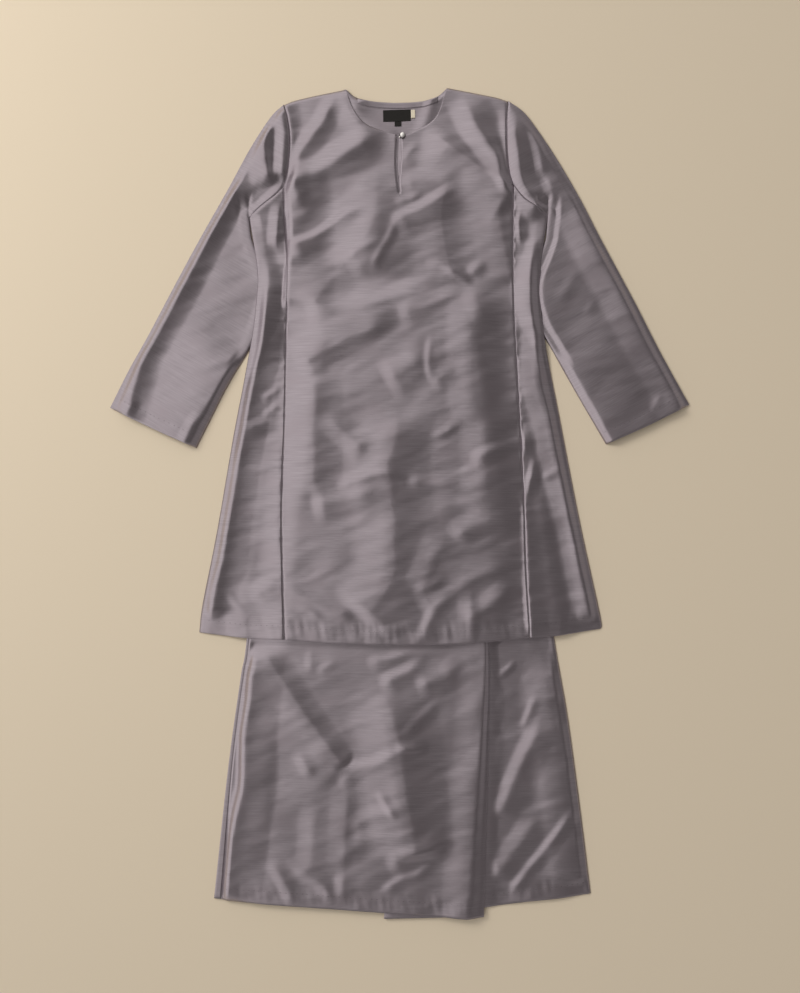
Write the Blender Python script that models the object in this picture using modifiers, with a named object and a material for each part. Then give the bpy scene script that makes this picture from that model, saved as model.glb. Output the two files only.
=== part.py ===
"""A baju kurung set laid flat: a long tunic over its long skirt, seen from above.

The tables are in millimetres. X runs to the right, Y up the garment towards the neck, and Z up
from the surface that the set lies on. The origin is under the middle of the whole set.
"""

import math

import bmesh
import bpy
import numpy as np

MM = 0.001

# The cloth
WALL = 1.0
LAYER_GAP = 0.8
SEAM_GAP = 0.4
PITCH = WALL + LAYER_GAP
TURN_STEPS = 4

# How far the cloth stands off the surface
SKIRT_CREST = 8.4
PLEAT_LOW = 0.5 * WALL + 3 * PITCH
TUNIC_PUFF = 1.0
SLEEVE_PUFF = 5.0
SKIRT_RISE = 70.0
UNDER_RISE = 60.0
PAST_FOLD_FALL = 50.0
TUNIC_FALL = 44.0
WAIST_FALL = 110.0
SLEEVE_TUCK_FALL = 30.0

# Sections in each piece
ARMHOLE_STEPS = 8
UNDERARM_STEPS = 6
CROWN_SHARE = 0.33
FRONT_ROWS = 29
BACK_ROWS = 20
SHOULDER_COLUMNS = 4
NECK_COLUMNS = 9
SLEEVE_ROWS = 18
SKIRT_ROWS = 20
OVER_COLUMNS = 12
CREASE_COLUMNS = 2
INNER_COLUMNS = 3
UNDER_COLUMNS = 8
SKIRT_BACK_COLUMNS = 4

# Neck trim
FACING_WIDTH = 9.5
FACING_COLUMNS = 10
LABEL_GAP = 0.3
PEARL_DIAMETER = 8.0
LOOP_DIAMETER = 1.2
LOOP_RADIUS = 4.6
SLIT_DEPTH = 30.0

# Waistband
WAIST_Y = 292.0
BAND_HEIGHT = 40.0
BAND_WALL = 1.2
BAND_COLUMNS = 14

# Seam lines and edges of the tunic, each from its upper end
# x, y
NECK_FRONT = [
    (-91, 697), (-84, 675), (-72, 652), (-55, 636), (-30, 627), (-4, 621), (10, 622),
    (28, 629), (45, 637), (60, 650), (69, 668), (74, 686), (79, 700),
]
NECK_BACK = [
    (-91, 697), (-80, 687), (-67, 681), (-45, 677), (-10, 675), (20, 676), (45, 679),
    (62, 685), (71, 692), (79, 700),
]
SHOULDER_LEFT = [(-195, 671), (-178, 678), (-140, 687), (-91, 697)]
SHOULDER_RIGHT = [(79, 700), (120, 692), (160, 684), (182, 677)]
ARMHOLE_LEFT = [(-195, 671), (-189, 649), (-185, 618), (-186, 587), (-190, 556), (-197, 533)]
ARMHOLE_RIGHT = [(182, 677), (179, 635), (180, 592), (184, 556), (191, 534)]
UNDERARM_LEFT = [(-197, 533), (-211, 518), (-234, 500), (-254, 482)]
UNDERARM_RIGHT = [(191, 534), (208, 513), (230, 498), (249, 484)]
SEAM_LEFT = [(-197, 533), (-190, 384), (-192, 255), (-194, 137), (-198, -30), (-193, -227)]
SEAM_RIGHT = [(191, 534), (191, 359), (196, 243), (207, 36), (211, -105), (218, -224)]
SIDE_LEFT = [
    (-254, 482), (-245, 431), (-239, 384), (-241, 345), (-250, 272), (-279, 122),
    (-308, -46), (-332, -167), (-338, -216),
]
SIDE_RIGHT = [
    (249, 484), (241, 434), (236, 395), (236, 345), (245, 264), (264, 169), (301, -22),
    (337, -188), (338, -210),
]
HEM_LEFT = [(-338, -216), (-259, -225), (-193, -227)]
HEM_MIDDLE = [(-193, -227), (-94, -234), (0, -236), (66, -236), (136, -232), (218, -224)]
HEM_RIGHT = [(218, -224), (258, -222), (338, -210)]
KEYHOLE = [(-3, 640), (-3, 612), (-5, 590), (-5.5, 570), (-4, 545), (-1.5, 519)]
KEYHOLE_WIDTH = 2.4

# Edges of the sleeves, each from its upper end, the inner ones from the underarm
# x, y
SLEEVE_OUTER_LEFT = [
    (-195, 671), (-217, 650), (-251, 598), (-289, 528), (-336, 445), (-382, 360),
    (-421, 286), (-455, 225), (-487, 161),
]
SLEEVE_OUTER_RIGHT = [
    (182, 677), (208, 658), (234, 624), (266, 575), (302, 513), (335, 449), (394, 339),
    (437, 255), (486, 166),
]
SLEEVE_INNER_LEFT = [
    (-254, 482), (-251, 457), (-248, 442), (-237, 413), (-226, 384), (-222, 358),
    (-228, 326), (-239, 290), (-254, 259), (-290, 199), (-317, 146), (-343, 94),
]
SLEEVE_INNER_RIGHT = [
    (249, 484), (246, 458), (244, 443), (233, 413), (221, 384), (216, 358), (220, 328),
    (233, 297), (253, 264), (272, 230), (298, 184), (330, 129), (347, 100),
]
CUFF_LEFT = [(-487, 161), (-415, 126), (-343, 94)]
CUFF_RIGHT = [(486, 166), (416, 131), (347, 100)]
# outer edge, armhole, underarm, inner edge, cuff
SLEEVES = {
    "sleeve_left": (
        SLEEVE_OUTER_LEFT, ARMHOLE_LEFT, UNDERARM_LEFT, SLEEVE_INNER_LEFT, CUFF_LEFT,
    ),
    "sleeve_right": (
        SLEEVE_OUTER_RIGHT, ARMHOLE_RIGHT, UNDERARM_RIGHT, SLEEVE_INNER_RIGHT, CUFF_RIGHT,
    ),
}

# Lines of the skirt, each from the waist down
# x, y
SKIRT_LEFT = [(-198, 252), (-232, 40), (-257, -228), (-267, -292), (-288, -443), (-312, -664)]
SKIRT_SEAM = [(-195, 252), (-229, 40), (-254, -228), (-264, -292), (-283, -443), (-301, -665)]
SKIRT_RIGHT = [(185, 252), (222, 40), (259, -222), (282, -357), (303, -511), (321, -656)]
PLEAT_CREASE = [(100, 252), (122, 40), (142, -233), (134, -405), (123, -550), (112, -696)]
PLEAT_FOLD = [(120, 252), (138, 40), (149, -233), (147, -437), (144, -534), (140, -694)]
PLEAT_INNER = [(60, 252), (40, 40), (10, -233), (-6, -437), (-16, -560), (-26, -698)]
OVER_HEM = [(-301, -665), (-207, -673), (-111, -680), (-31, -686), (34, -690), (112, -696)]
UNDER_HEM = [(-26, -698), (142, -679), (208, -670), (272, -663), (321, -656)]
BACK_HEM = [(-312, -664), (-100, -668), (100, -664), (321, -656)]

# Folds that lie across the tunic and sleeves. The cloth climbs to the line from its left, seen
# from the first end towards the second, and falls away to its right.
# x0, y0, x1, y1, climb, fall, height
TUNIC_FOLDS = [
    (-188, 552, -22, 622, 40, 36, 7.0),
    (-176, 540, -126, 650, 30, 26, 4.0),
    (182, 566, 72, 640, 34, 30, 5.0),
    (184, 612, 132, 664, 34, 26, 4.0),
    (-186, 430, -38, 528, 55, 34, 6.0),
    (-176, 330, -46, 404, 50, 36, 5.0),
    (-172, 226, -10, 312, 50, 30, 6.5),
    (-140, 96, -150, 218, 40, 30, 4.0),
    (-170, -6, -30, 34, 40, 34, 5.5),
    (-10, 30, 104, 28, 40, 30, 4.0),
    (122, 170, 118, 388, 45, 36, 5.0),
    (140, -40, 144, 150, 45, 40, 5.0),
    (44, -148, 200, -110, 40, 34, 5.0),
    (-120, -190, -30, -90, 45, 40, 4.5),
    (-298, -110, -262, 130, 30, 36, 6.0),
    (-308, -190, -292, -100, 25, 30, 4.0),
    (-228, 60, -214, 380, 22, 26, 4.0),
    (318, -196, 262, 50, 34, 26, 6.0),
    (250, 60, 222, 400, 34, 22, 5.0),
    (-456, 176, -268, 556, 32, 40, 6.0),
    (-214, 540, -208, 654, 14, 18, 4.0),
    (-320, 150, -262, 280, 60, 26, 5.0),
    (214, 540, 196, 656, 14, 16, 4.0),
    (330, 124, 262, 262, 26, 60, 5.0),
    (452, 190, 290, 540, 50, 26, 6.0),
]
# Folds of the skirt, in the same form
SKIRT_FOLDS = [
    (-292, -640, -256, -290, 24, 40, 6.0),
    (-108, -432, -236, -262, 50, 40, 6.0),
    (-132, -500, 0, -424, 50, 34, 5.0),
    (-10, -620, -16, -290, 60, 60, 6.0),
    (40, -640, 84, -560, 40, 40, 3.5),
    (196, -560, 246, -350, 30, 30, 4.5),
    (212, -650, 300, -520, 26, 26, 4.0),
    (304, -620, 262, -290, 30, 24, 4.0),
]

# Sewn-in labels, each left bare
# name, left, right, low, high, thickness
LABELS = [
    ("label_main", -28.7, 18.4, 643.3, 663.4, 1.0),
    ("label_size", -9.0, 2.4, 635.6, 643.0, 1.0),
    ("label_care", 18.8, 25.2, 649.0, 662.5, 1.6),
]

# red, green, blue, roughness
COLOURS = {
    "cloth": (0.30, 0.27, 0.29, 0.45),
    "label_black": (0.012, 0.011, 0.010, 0.6),
    "label_cream": (0.72, 0.64, 0.50, 0.7),
    "pearl": (0.90, 0.88, 0.84, 0.15),
    "loop": (0.05, 0.045, 0.045, 0.5),
}

PEARL_PLACE = (4.2, 618.6)


def clear_scene():
    for item in list(bpy.data.objects):
        bpy.data.objects.remove(item, do_unlink=True)


def new_collection(name):
    group = bpy.data.collections.new(name)
    bpy.context.scene.collection.children.link(group)
    return group


def new_material(node, colour):
    red, green, blue, roughness = COLOURS[colour]
    material = bpy.data.materials.new(node + "_" + colour)
    material.use_nodes = True
    shader = material.node_tree.nodes["Principled BSDF"]
    shader.inputs["Base Color"].default_value = (red, green, blue, 1.0)
    shader.inputs["Roughness"].default_value = roughness
    shader.inputs["Metallic"].default_value = 0.0
    return material


def soft_step(value, start, end):
    """0 before start, 1 past end, with a smooth climb between them."""
    share = np.clip((value - start) / (end - start), 0.0, 1.0)
    return share * share * (3.0 - 2.0 * share)


def resample(line, count):
    """A line again, as points that are evenly spaced along it."""
    steps = np.linalg.norm(np.diff(line, axis=0), axis=1)
    along = np.concatenate([[0.0], np.cumsum(steps)])
    places = np.linspace(0.0, along[-1], count)
    return np.column_stack([np.interp(places, along, line[:, k]) for k in range(line.shape[1])])


def smooth(table, count):
    """Evenly spaced points on the smooth line through a table's points."""
    points = np.array(table, float)
    ends = np.vstack([2 * points[0] - points[1], points, 2 * points[-1] - points[-2]])
    t = np.linspace(0.0, 1.0, 12, endpoint=False)[:, None]
    pieces = []
    for a, b, c, d in zip(ends, ends[1:], ends[2:], ends[3:]):
        cubic = (3 * b - a - 3 * c + d) * t**3 + (2 * a - 5 * b + 4 * c - d) * t**2
        pieces.append(b + 0.5 * (cubic + (c - a) * t))
    return resample(np.vstack(pieces + [points[-1:]]), count)


def joined(*lines):
    """Lines end to end, with each shared point once."""
    return np.vstack([lines[0]] + [line[1:] for line in lines[1:]])


def x_on(table, y):
    """Where a line that runs down the garment is at each height."""
    line = smooth(table, 120)[::-1]
    return np.interp(y, line[:, 1], line[:, 0])


def shares(line):
    steps = np.linalg.norm(np.diff(line, axis=0), axis=1)
    along = np.concatenate([[0.0], np.cumsum(steps)])
    return along / along[-1]


def patch(top, bottom, left, right):
    """Rows of points that fill the space between four lines which meet at their ends."""
    u = 0.5 * (shares(top) + shares(bottom))[None, :, None]
    v = 0.5 * (shares(left) + shares(right))[:, None, None]
    across = (1 - v) * top[None] + v * bottom[None]
    down = (1 - u) * left[:, None] + u * right[:, None]
    upper = (1 - u) * top[0] + u * top[-1]
    lower = (1 - u) * bottom[0] + u * bottom[-1]
    return across + down - (1 - v) * upper - v * lower


def pull_in(grid, side, distance=0.5 * SEAM_GAP):
    """Moves one side of a patch inward, square to its seam line."""
    pairs = {
        "top": (grid[0], grid[1]),
        "bottom": (grid[-1], grid[-2]),
        "left": (grid[:, 0], grid[:, 1]),
        "right": (grid[:, -1], grid[:, -2]),
    }
    edge, inner = pairs[side]
    tangent = np.gradient(edge, axis=0)
    normal = np.column_stack([-tangent[:, 1], tangent[:, 0]])
    normal /= np.linalg.norm(normal, axis=1)[:, None]
    facing = np.sign(((inner - edge) * normal).sum(axis=1))[:, None]
    edge += facing * normal * distance


def fold_height(x, y, folds):
    """How far the folds lift the cloth: each climbs to a line and falls away past it."""
    total = np.zeros_like(x)
    for x0, y0, x1, y1, climb, fall, height in folds:
        run = math.hypot(x1 - x0, y1 - y0)
        along = ((x - x0) * (x1 - x0) + (y - y0) * (y1 - y0)) / run
        side = ((x - x0) * (y1 - y0) - (y - y0) * (x1 - x0)) / run
        rising = soft_step(side, -climb, 0.0)
        falling = 1.0 - soft_step(side, 0.0, fall)
        reach = 0.3 * run
        ends = soft_step(along, -0.1 * run, reach) * (1 - soft_step(along, run - reach, 1.1 * run))
        total = np.maximum(total, height * rising * falling * ends)
    return total


def skirt_rise(x, y):
    """How high the skirt's left side stands over its edge, from 0 to 1."""
    edge = x_on(SKIRT_SEAM, y)
    return soft_step(x, edge + 2.0, edge + SKIRT_RISE)


def over_middle(x, y):
    """The middle of the wall of the skirt's upper layer, left of the pleat's folded edge."""
    low = 0.5 * WALL + PITCH
    rise = (SKIRT_CREST - low) * skirt_rise(x, y)
    drop = (SKIRT_CREST - PLEAT_LOW) * soft_step(x, x_on(PLEAT_CREASE, y), x_on(PLEAT_FOLD, y))
    shown = soft_step(-y, 246.0, 290.0)
    inward = soft_step(x - x_on(SKIRT_SEAM, y), 2.0, 26.0)
    from_fold = soft_step(x_on(PLEAT_FOLD, y) - x, 0.0, 30.0)
    return low + rise - drop + fold_height(x, y, SKIRT_FOLDS) * shown * inward * from_fold


def under_middle(x, y):
    """The middle of the wall of the skirt's lower layer, on both sides of the folded edge."""
    low = 0.5 * WALL + PITCH
    past_fold = x - x_on(PLEAT_FOLD, y)
    inside = x_on(SKIRT_RIGHT, y) - x
    rise = (PLEAT_LOW - low) * soft_step(past_fold, 8.0, 56.0) * soft_step(inside, 0.0, UNDER_RISE)
    shown = soft_step(-y, 240.0, 280.0) * soft_step(past_fold, 10.0, 30.0)
    shown = shown * soft_step(inside, 0.0, 20.0)
    return low + rise + fold_height(x, y, SKIRT_FOLDS) * shown


def skirt_top(x, y):
    """The top of the skirt under the tunic, smoothed past the pleat's folded edge."""
    low = WALL + PITCH
    crest = SKIRT_CREST - 0.5 * WALL - PITCH
    flat = PLEAT_LOW - 0.5 * WALL - PITCH
    fold = x_on(PLEAT_FOLD, y) + 3.0
    past_fold = soft_step(x, fold, fold + PAST_FOLD_FALL)
    inside = soft_step(x_on(SKIRT_RIGHT, y) - x, 0.0, UNDER_RISE)
    return low + (crest * skirt_rise(x, y) - (crest - flat) * past_fold) * inside


def tunic_floor(x, y):
    """The underside of the tunic: over the skirt, over the tucked sleeves, or on the surface."""
    left = x_on(SKIRT_LEFT, y) - 4.0
    right = x_on(SKIRT_RIGHT, y) + 4.0
    cover = soft_step(x, left - TUNIC_FALL, left) * (1 - soft_step(x, right, right + TUNIC_FALL))
    cover = cover * (1 - soft_step(y, WAIST_Y + 6.0, WAIST_Y + WAIST_FALL))
    return (skirt_top(x, y) + LAYER_GAP) * cover + sleeve_tuck(x, y)


def sleeve_tuck(x, y):
    """How far the side of the tunic is lifted by the sleeve's edge that lies under it."""
    height = 2 * WALL + 2 * LAYER_GAP
    below = soft_step(-y, -484.0, -450.0) * soft_step(y, 150.0, 215.0)
    left = x_on(SLEEVE_INNER_LEFT, y) + 3.0
    right = x_on(SLEEVE_INNER_RIGHT, y) - 3.0
    on_left = 1 - soft_step(x, left, left + SLEEVE_TUCK_FALL)
    on_right = soft_step(x, right - SLEEVE_TUCK_FALL, right)
    return height * below * np.where(x < 0, on_left, on_right)


def add_sheet(name, points, group, colour="cloth", wall=WALL):
    """A wall of cloth on a grid of points, which are the middle of its thickness."""
    rows, columns = points.shape[:2]
    shape = bmesh.new()
    bmesh.ops.create_grid(shape, x_segments=columns - 1, y_segments=rows - 1, size=1.0)
    shape.verts.ensure_lookup_table()
    for vert, place in zip(shape.verts, points.reshape(-1, 3)):
        vert.co = place * MM
    mesh = bpy.data.meshes.new(name)
    shape.to_mesh(mesh)
    shape.free()
    piece = add_object(name, mesh, group, colour)
    shell = piece.modifiers.new("wall", "SOLIDIFY")
    shell.thickness = wall * MM
    shell.offset = 0.0
    return piece


def add_object(name, mesh, group, colour):
    mesh.shade_smooth()
    piece = bpy.data.objects.new(name, mesh)
    group.objects.link(piece)
    if colour:
        mesh.materials.clear()
        mesh.materials.append(new_material(name, colour))
    return piece


def lifted(grid, height):
    return np.dstack([grid, height])


def centre_patch(neck, rows, neck_columns, shoulder_columns):
    """A centre panel of the tunic, from the shoulders and neck to the hem."""
    top = joined(
        smooth(SHOULDER_LEFT, shoulder_columns + 1),
        smooth(neck, neck_columns + 1),
        smooth(SHOULDER_RIGHT, shoulder_columns + 1),
    )
    bottom = smooth(HEM_MIDDLE, len(top))
    left = joined(smooth(ARMHOLE_LEFT, ARMHOLE_STEPS + 1), smooth(SEAM_LEFT, rows + 1))
    right = joined(smooth(ARMHOLE_RIGHT, ARMHOLE_STEPS + 1), smooth(SEAM_RIGHT, rows + 1))
    grid = patch(top, bottom, left, right)
    pull_in(grid, "left")
    pull_in(grid, "right")
    return grid


def side_patch(side, seam, underarm, hem, rows):
    """A side panel, from the underarm to the hem, with its outer edge as its left side."""
    top = smooth(underarm, UNDERARM_STEPS + 1)[::-1]
    bottom = smooth(hem, UNDERARM_STEPS + 1)
    grid = patch(top, bottom, smooth(side, rows + 1), smooth(seam, rows + 1))
    pull_in(grid, "top")
    pull_in(grid, "right")
    return grid


def add_tunic_panels(group):
    side_tables = {
        "left": (SIDE_LEFT, SEAM_LEFT, UNDERARM_LEFT, HEM_LEFT),
        "right": (SIDE_RIGHT, SEAM_RIGHT, UNDERARM_RIGHT, HEM_RIGHT[::-1]),
    }
    half = SHOULDER_COLUMNS // 2
    back = centre_patch(NECK_BACK, BACK_ROWS, NECK_COLUMNS - 1, half + 1)
    front = centre_patch(NECK_FRONT, FRONT_ROWS, NECK_COLUMNS, SHOULDER_COLUMNS)
    add_back("tunic_back", back, group)
    panel = add_front("tunic_front", front, group)
    for side, tables in side_tables.items():
        add_back("side_back_" + side, side_patch(*tables, BACK_ROWS), group)
        add_front("side_front_" + side, side_patch(*tables, FRONT_ROWS), group)
    return panel


def add_back(name, grid, group):
    x, y = grid[..., 0], grid[..., 1]
    return add_sheet(name, lifted(grid, tunic_floor(x, y) + 0.5 * WALL), group)


def add_front(name, grid, group):
    x, y = grid[..., 0], grid[..., 1]
    from_side = np.minimum(x - x_on(SIDE_LEFT, y), x_on(SIDE_RIGHT, y) - x)
    inward = soft_step(from_side, 0.0, 24.0)
    puff = TUNIC_PUFF * soft_step(y, -236.0, -150.0) * soft_step(-y, -480.0, -380.0)
    folds = fold_height(x, y, TUNIC_FOLDS)
    height = tunic_floor(x, y) + 0.5 * WALL + PITCH
    body = np.where(y > 482.0, 1.0, inward)
    return add_sheet(name, lifted(grid, height + (puff + folds) * body), group)


def turned(points, low, high, out):
    """The cloth's way round a fold, from one layer to the next, on a half circle."""
    middle, radius = 0.5 * (low + high), 0.5 * abs(high - low)
    start = 1.0 if low > high else -1.0
    steps = []
    for k in range(1, TURN_STEPS):
        angle = math.pi * k / TURN_STEPS
        place = points + out * radius * math.sin(angle)
        height = np.full(len(points), middle + start * radius * math.cos(angle))
        steps.append(np.column_stack([place, height]))
    return steps


def sleeve_grid(outer, armhole, underarm, inner, cuff):
    """Rows square to the arm, the first of which bends to follow the armhole seam."""
    line = smooth(outer, 200)
    crown = int(CROWN_SHARE * len(line))
    left = joined(
        resample(line[: crown + 1], UNDERARM_STEPS + 1), resample(line[crown:], SLEEVE_ROWS + 1)
    )
    right = joined(smooth(underarm, UNDERARM_STEPS + 1), smooth(inner, SLEEVE_ROWS + 1))
    grid = between(left, right, ARMHOLE_STEPS)
    for table, row in ((armhole, 0), (cuff, len(grid) - 1)):
        bend = smooth(table, ARMHOLE_STEPS + 1) - grid[row]
        for k in range(len(grid)):
            grid[k] += bend * max(0.0, 1.0 - abs(k - row) / UNDERARM_STEPS)
    return grid


def add_sleeve(name, outer, armhole, underarm, inner, cuff, group):
    """One sleeve: a piece folded along its outer edge, with its two edges sewn at the underarm."""
    grid = sleeve_grid(outer, armhole, underarm, inner, cuff)
    pull_in(grid, "top")
    pull_in(grid, "right")
    low, high = 0.5 * WALL, 0.5 * WALL + PITCH
    front = lifted(grid, high + sleeve_lift(grid, inner, outer))
    back = lifted(grid, np.full(grid.shape[:2], low))
    away = grid[:, 0] - grid[:, 1]
    away /= np.linalg.norm(away, axis=1)[:, None]
    turn = turned(grid[:, 0], high, low, away)
    rows = np.concatenate([front[:, ::-1], np.stack(turn, axis=1), back], axis=1)
    return add_sheet(name, rows, group)


def sleeve_lift(grid, inner, outer):
    """How far a sleeve's upper layer stands over its lower one."""
    x, y = grid[..., 0], grid[..., 1]
    from_inner = np.abs(x_on(inner, y) - x)
    at_body = soft_step(y, 490.0, 530.0)
    clear = np.maximum(soft_step(from_inner, 26.0, 52.0), at_body)
    from_outer = soft_step(np.abs(x - x_on(outer, y)), 0.0, 26.0)
    across = np.linspace(0.0, 1.0, grid.shape[1])[None, :]
    down = np.linspace(0.0, 1.0, grid.shape[0])[:, None]
    puff = SLEEVE_PUFF * np.sin(math.pi * across) * soft_step(down, 0.0, 0.3)
    return (puff + fold_height(x, y, TUNIC_FOLDS)) * clear * from_outer


def add_skirt_front(group):
    """The skirt's front, folded to and fro as a knife pleat."""
    rows = SKIRT_ROWS + 1
    seam, crease = smooth(SKIRT_SEAM, rows), smooth(PLEAT_CREASE, rows)
    fold, inner = smooth(PLEAT_FOLD, rows), smooth(PLEAT_INNER, rows)
    right = smooth(SKIRT_RIGHT, rows)
    hem = smooth(OVER_HEM, OVER_COLUMNS + 1)
    over = patch(straight(seam[0], crease[0], OVER_COLUMNS), hem, seam, crease)
    strip = between(crease, fold, CREASE_COLUMNS)
    tucked = between(fold, inner, INNER_COLUMNS)
    hem = smooth(UNDER_HEM, UNDER_COLUMNS + 1)
    under = patch(straight(inner[0], right[0], UNDER_COLUMNS), hem, inner, right)
    over = np.concatenate([over, strip[:, 1:]], axis=1)
    pull_in(over, "left")
    middle = 0.5 * WALL + 2 * PITCH
    upper = lifted(over, over_middle(over[..., 0], over[..., 1]))
    tuck = lifted(tucked, np.full(tucked.shape[:2], middle))
    lower = lifted(under, under_middle(under[..., 0], under[..., 1]))
    to_right = np.tile([1.0, 0.0], (rows, 1))
    at_fold = np.stack(turned(fold, PLEAT_LOW, middle, to_right), axis=1)
    at_inner = np.stack(turned(inner, middle, 0.5 * WALL + PITCH, -to_right), axis=1)
    layers = [upper, at_fold, tuck, at_inner, lower]
    return add_sheet("skirt_front", np.concatenate(layers, axis=1), group)


def straight(start, end, columns):
    share = np.linspace(0.0, 1.0, columns + 1)[:, None]
    return (1 - share) * start + share * end


def between(left, right, columns):
    """Straight rows from one line to another."""
    share = np.linspace(0.0, 1.0, columns + 1)[None, :, None]
    return (1 - share) * left[:, None] + share * right[:, None]


def add_skirt_back(group):
    """The skirt's back, which rolls round the left edge to the seam on the front."""
    rows = SKIRT_ROWS + 1
    edge, seam = smooth(SKIRT_LEFT, rows), smooth(SKIRT_SEAM, rows)
    right = smooth(SKIRT_RIGHT, rows)
    hem = smooth(BACK_HEM, SKIRT_BACK_COLUMNS + 1)
    floor = patch(straight(edge[0], right[0], SKIRT_BACK_COLUMNS), hem, edge, right)
    strip = between(seam, edge, 1)
    pull_in(strip, "left")
    low, high = 0.5 * WALL, 0.5 * WALL + PITCH
    to_left = np.tile([-1.0, 0.0], (rows, 1))
    layers = [
        lifted(strip, np.full(strip.shape[:2], high)),
        np.stack(turned(edge, high, low, to_left), axis=1),
        lifted(floor, np.full(floor.shape[:2], low)),
    ]
    return add_sheet("skirt_back", np.concatenate(layers, axis=1), group)


def add_waistband(group):
    """The skirt's waistband: a flat loop, open above and below, with its seam at the left."""
    across = np.linspace(SKIRT_LEFT[0][0], SKIRT_RIGHT[0][0], BAND_COLUMNS + 1)
    x, y = np.meshgrid(across, (WAIST_Y - BAND_HEIGHT + SEAM_GAP, WAIST_Y))
    grid = np.dstack([x, y])
    low = 0.5 * BAND_WALL
    height = skirt_top(x, y) - low
    back = lifted(grid, np.full(x.shape, low))
    front = lifted(grid, height)[:, ::-1]
    to_right = np.tile([1.0, 0.0], (len(grid), 1))
    turn = np.stack(turned(grid[:, -1], low, height[0, -1], to_right), axis=1)
    rows = np.concatenate([back, turn, front], axis=1)
    return add_sheet("skirt_waistband", rows, group, wall=BAND_WALL)


def add_neck_facing(group):
    """The band inside the back neck, which follows the back neckline."""
    line = smooth(NECK_BACK, 60)
    line = line[(line[:, 0] > -70.0) & (line[:, 0] < 62.0)]
    upper = resample(line, FACING_COLUMNS + 1) - (0.0, 0.3)
    lower = upper - (0.0, FACING_WIDTH)
    grid = np.stack([upper, lower])
    height = np.full(grid.shape[:2], 1.5 * WALL + LABEL_GAP)
    return add_sheet("neck_facing_back", lifted(grid, height), group)


def add_labels(group):
    for name, left, right, low, high, thickness in LABELS:
        colour = "label_cream" if name == "label_care" else "label_black"
        shape = bmesh.new()
        bmesh.ops.create_cube(shape, size=1.0)
        size = np.array([right - left, high - low, thickness]) * MM
        bmesh.ops.scale(shape, verts=shape.verts, vec=size)
        mesh = bpy.data.meshes.new(name)
        shape.to_mesh(mesh)
        shape.free()
        piece = add_object(name, mesh, group, colour)
        middle = WALL + LABEL_GAP + 0.5 * thickness
        piece.location = np.array([0.5 * (left + right), 0.5 * (low + high), middle]) * MM


def add_button(group, height):
    shape = bmesh.new()
    radius = 0.5 * PEARL_DIAMETER * MM
    bmesh.ops.create_uvsphere(shape, u_segments=16, v_segments=10, radius=radius)
    mesh = bpy.data.meshes.new("neck_button")
    shape.to_mesh(mesh)
    shape.free()
    piece = add_object("neck_button", mesh, group, "pearl")
    x, y = PEARL_PLACE
    piece.location = np.array([x, y, height + LABEL_GAP + 0.5 * PEARL_DIAMETER]) * MM
    return piece


def add_button_loop(group, height):
    """The cord that holds the button, round its foot and back to the slit."""
    x, y = PEARL_PLACE
    turns = [math.radians(angle) for angle in range(-200, 61, 20)]
    route = [(x + LOOP_RADIUS * math.cos(a), y + LOOP_RADIUS * math.sin(a)) for a in turns]
    curve = bpy.data.curves.new("button_loop", "CURVE")
    curve.dimensions = "3D"
    curve.bevel_depth = 0.5 * LOOP_DIAMETER * MM
    curve.bevel_resolution = 1
    curve.use_fill_caps = True
    spline = curve.splines.new("POLY")
    spline.points.add(len(route) - 1)
    level = height + LABEL_GAP + 0.5 * LOOP_DIAMETER
    for point, (px, py) in zip(spline.points, route):
        point.co = (px * MM, py * MM, level * MM, 1.0)
    curve.materials.append(new_material("button_loop", "loop"))
    piece = bpy.data.objects.new("button_loop", curve)
    group.objects.link(piece)
    return piece


def cut_keyhole(panel, cutters):
    """The slit down from the front neckline."""
    line = smooth(KEYHOLE, 8)
    half = np.array([0.5 * KEYHOLE_WIDTH, 0.0])
    grid = np.stack([line - half, line + half], axis=1)
    middle = lifted(grid, np.full(grid.shape[:2], 0.25 * SLIT_DEPTH))
    cutter = add_sheet("keyhole_cutter", middle, cutters, None, SLIT_DEPTH)
    cutter.hide_render = True
    cutter.display_type = "WIRE"
    cut = panel.modifiers.new("keyhole", "BOOLEAN")
    cut.operation = "DIFFERENCE"
    cut.solver = "EXACT"
    cut.object = cutter


def build():
    clear_scene()
    garment = new_collection("baju_kurung")
    cutters = new_collection("cutters")
    add_skirt_back(garment)
    add_skirt_front(garment)
    add_waistband(garment)
    panel = add_tunic_panels(garment)
    cut_keyhole(panel, cutters)
    for name, lines in SLEEVES.items():
        add_sleeve(name, *lines, garment)
    add_neck_facing(garment)
    add_labels(garment)
    level = WALL + PITCH
    add_button(garment, level)
    add_button_loop(garment, level)


build()
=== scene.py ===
"""The looks of the baju kurung set: its cloth, creases, stitches, labels and button.

Each piece of cloth is a thin shell on the form that its solid has. The tables are in
millimetres, in the solids' own frame: X to the right, Y up towards the neck, Z up.
"""

import math

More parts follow.
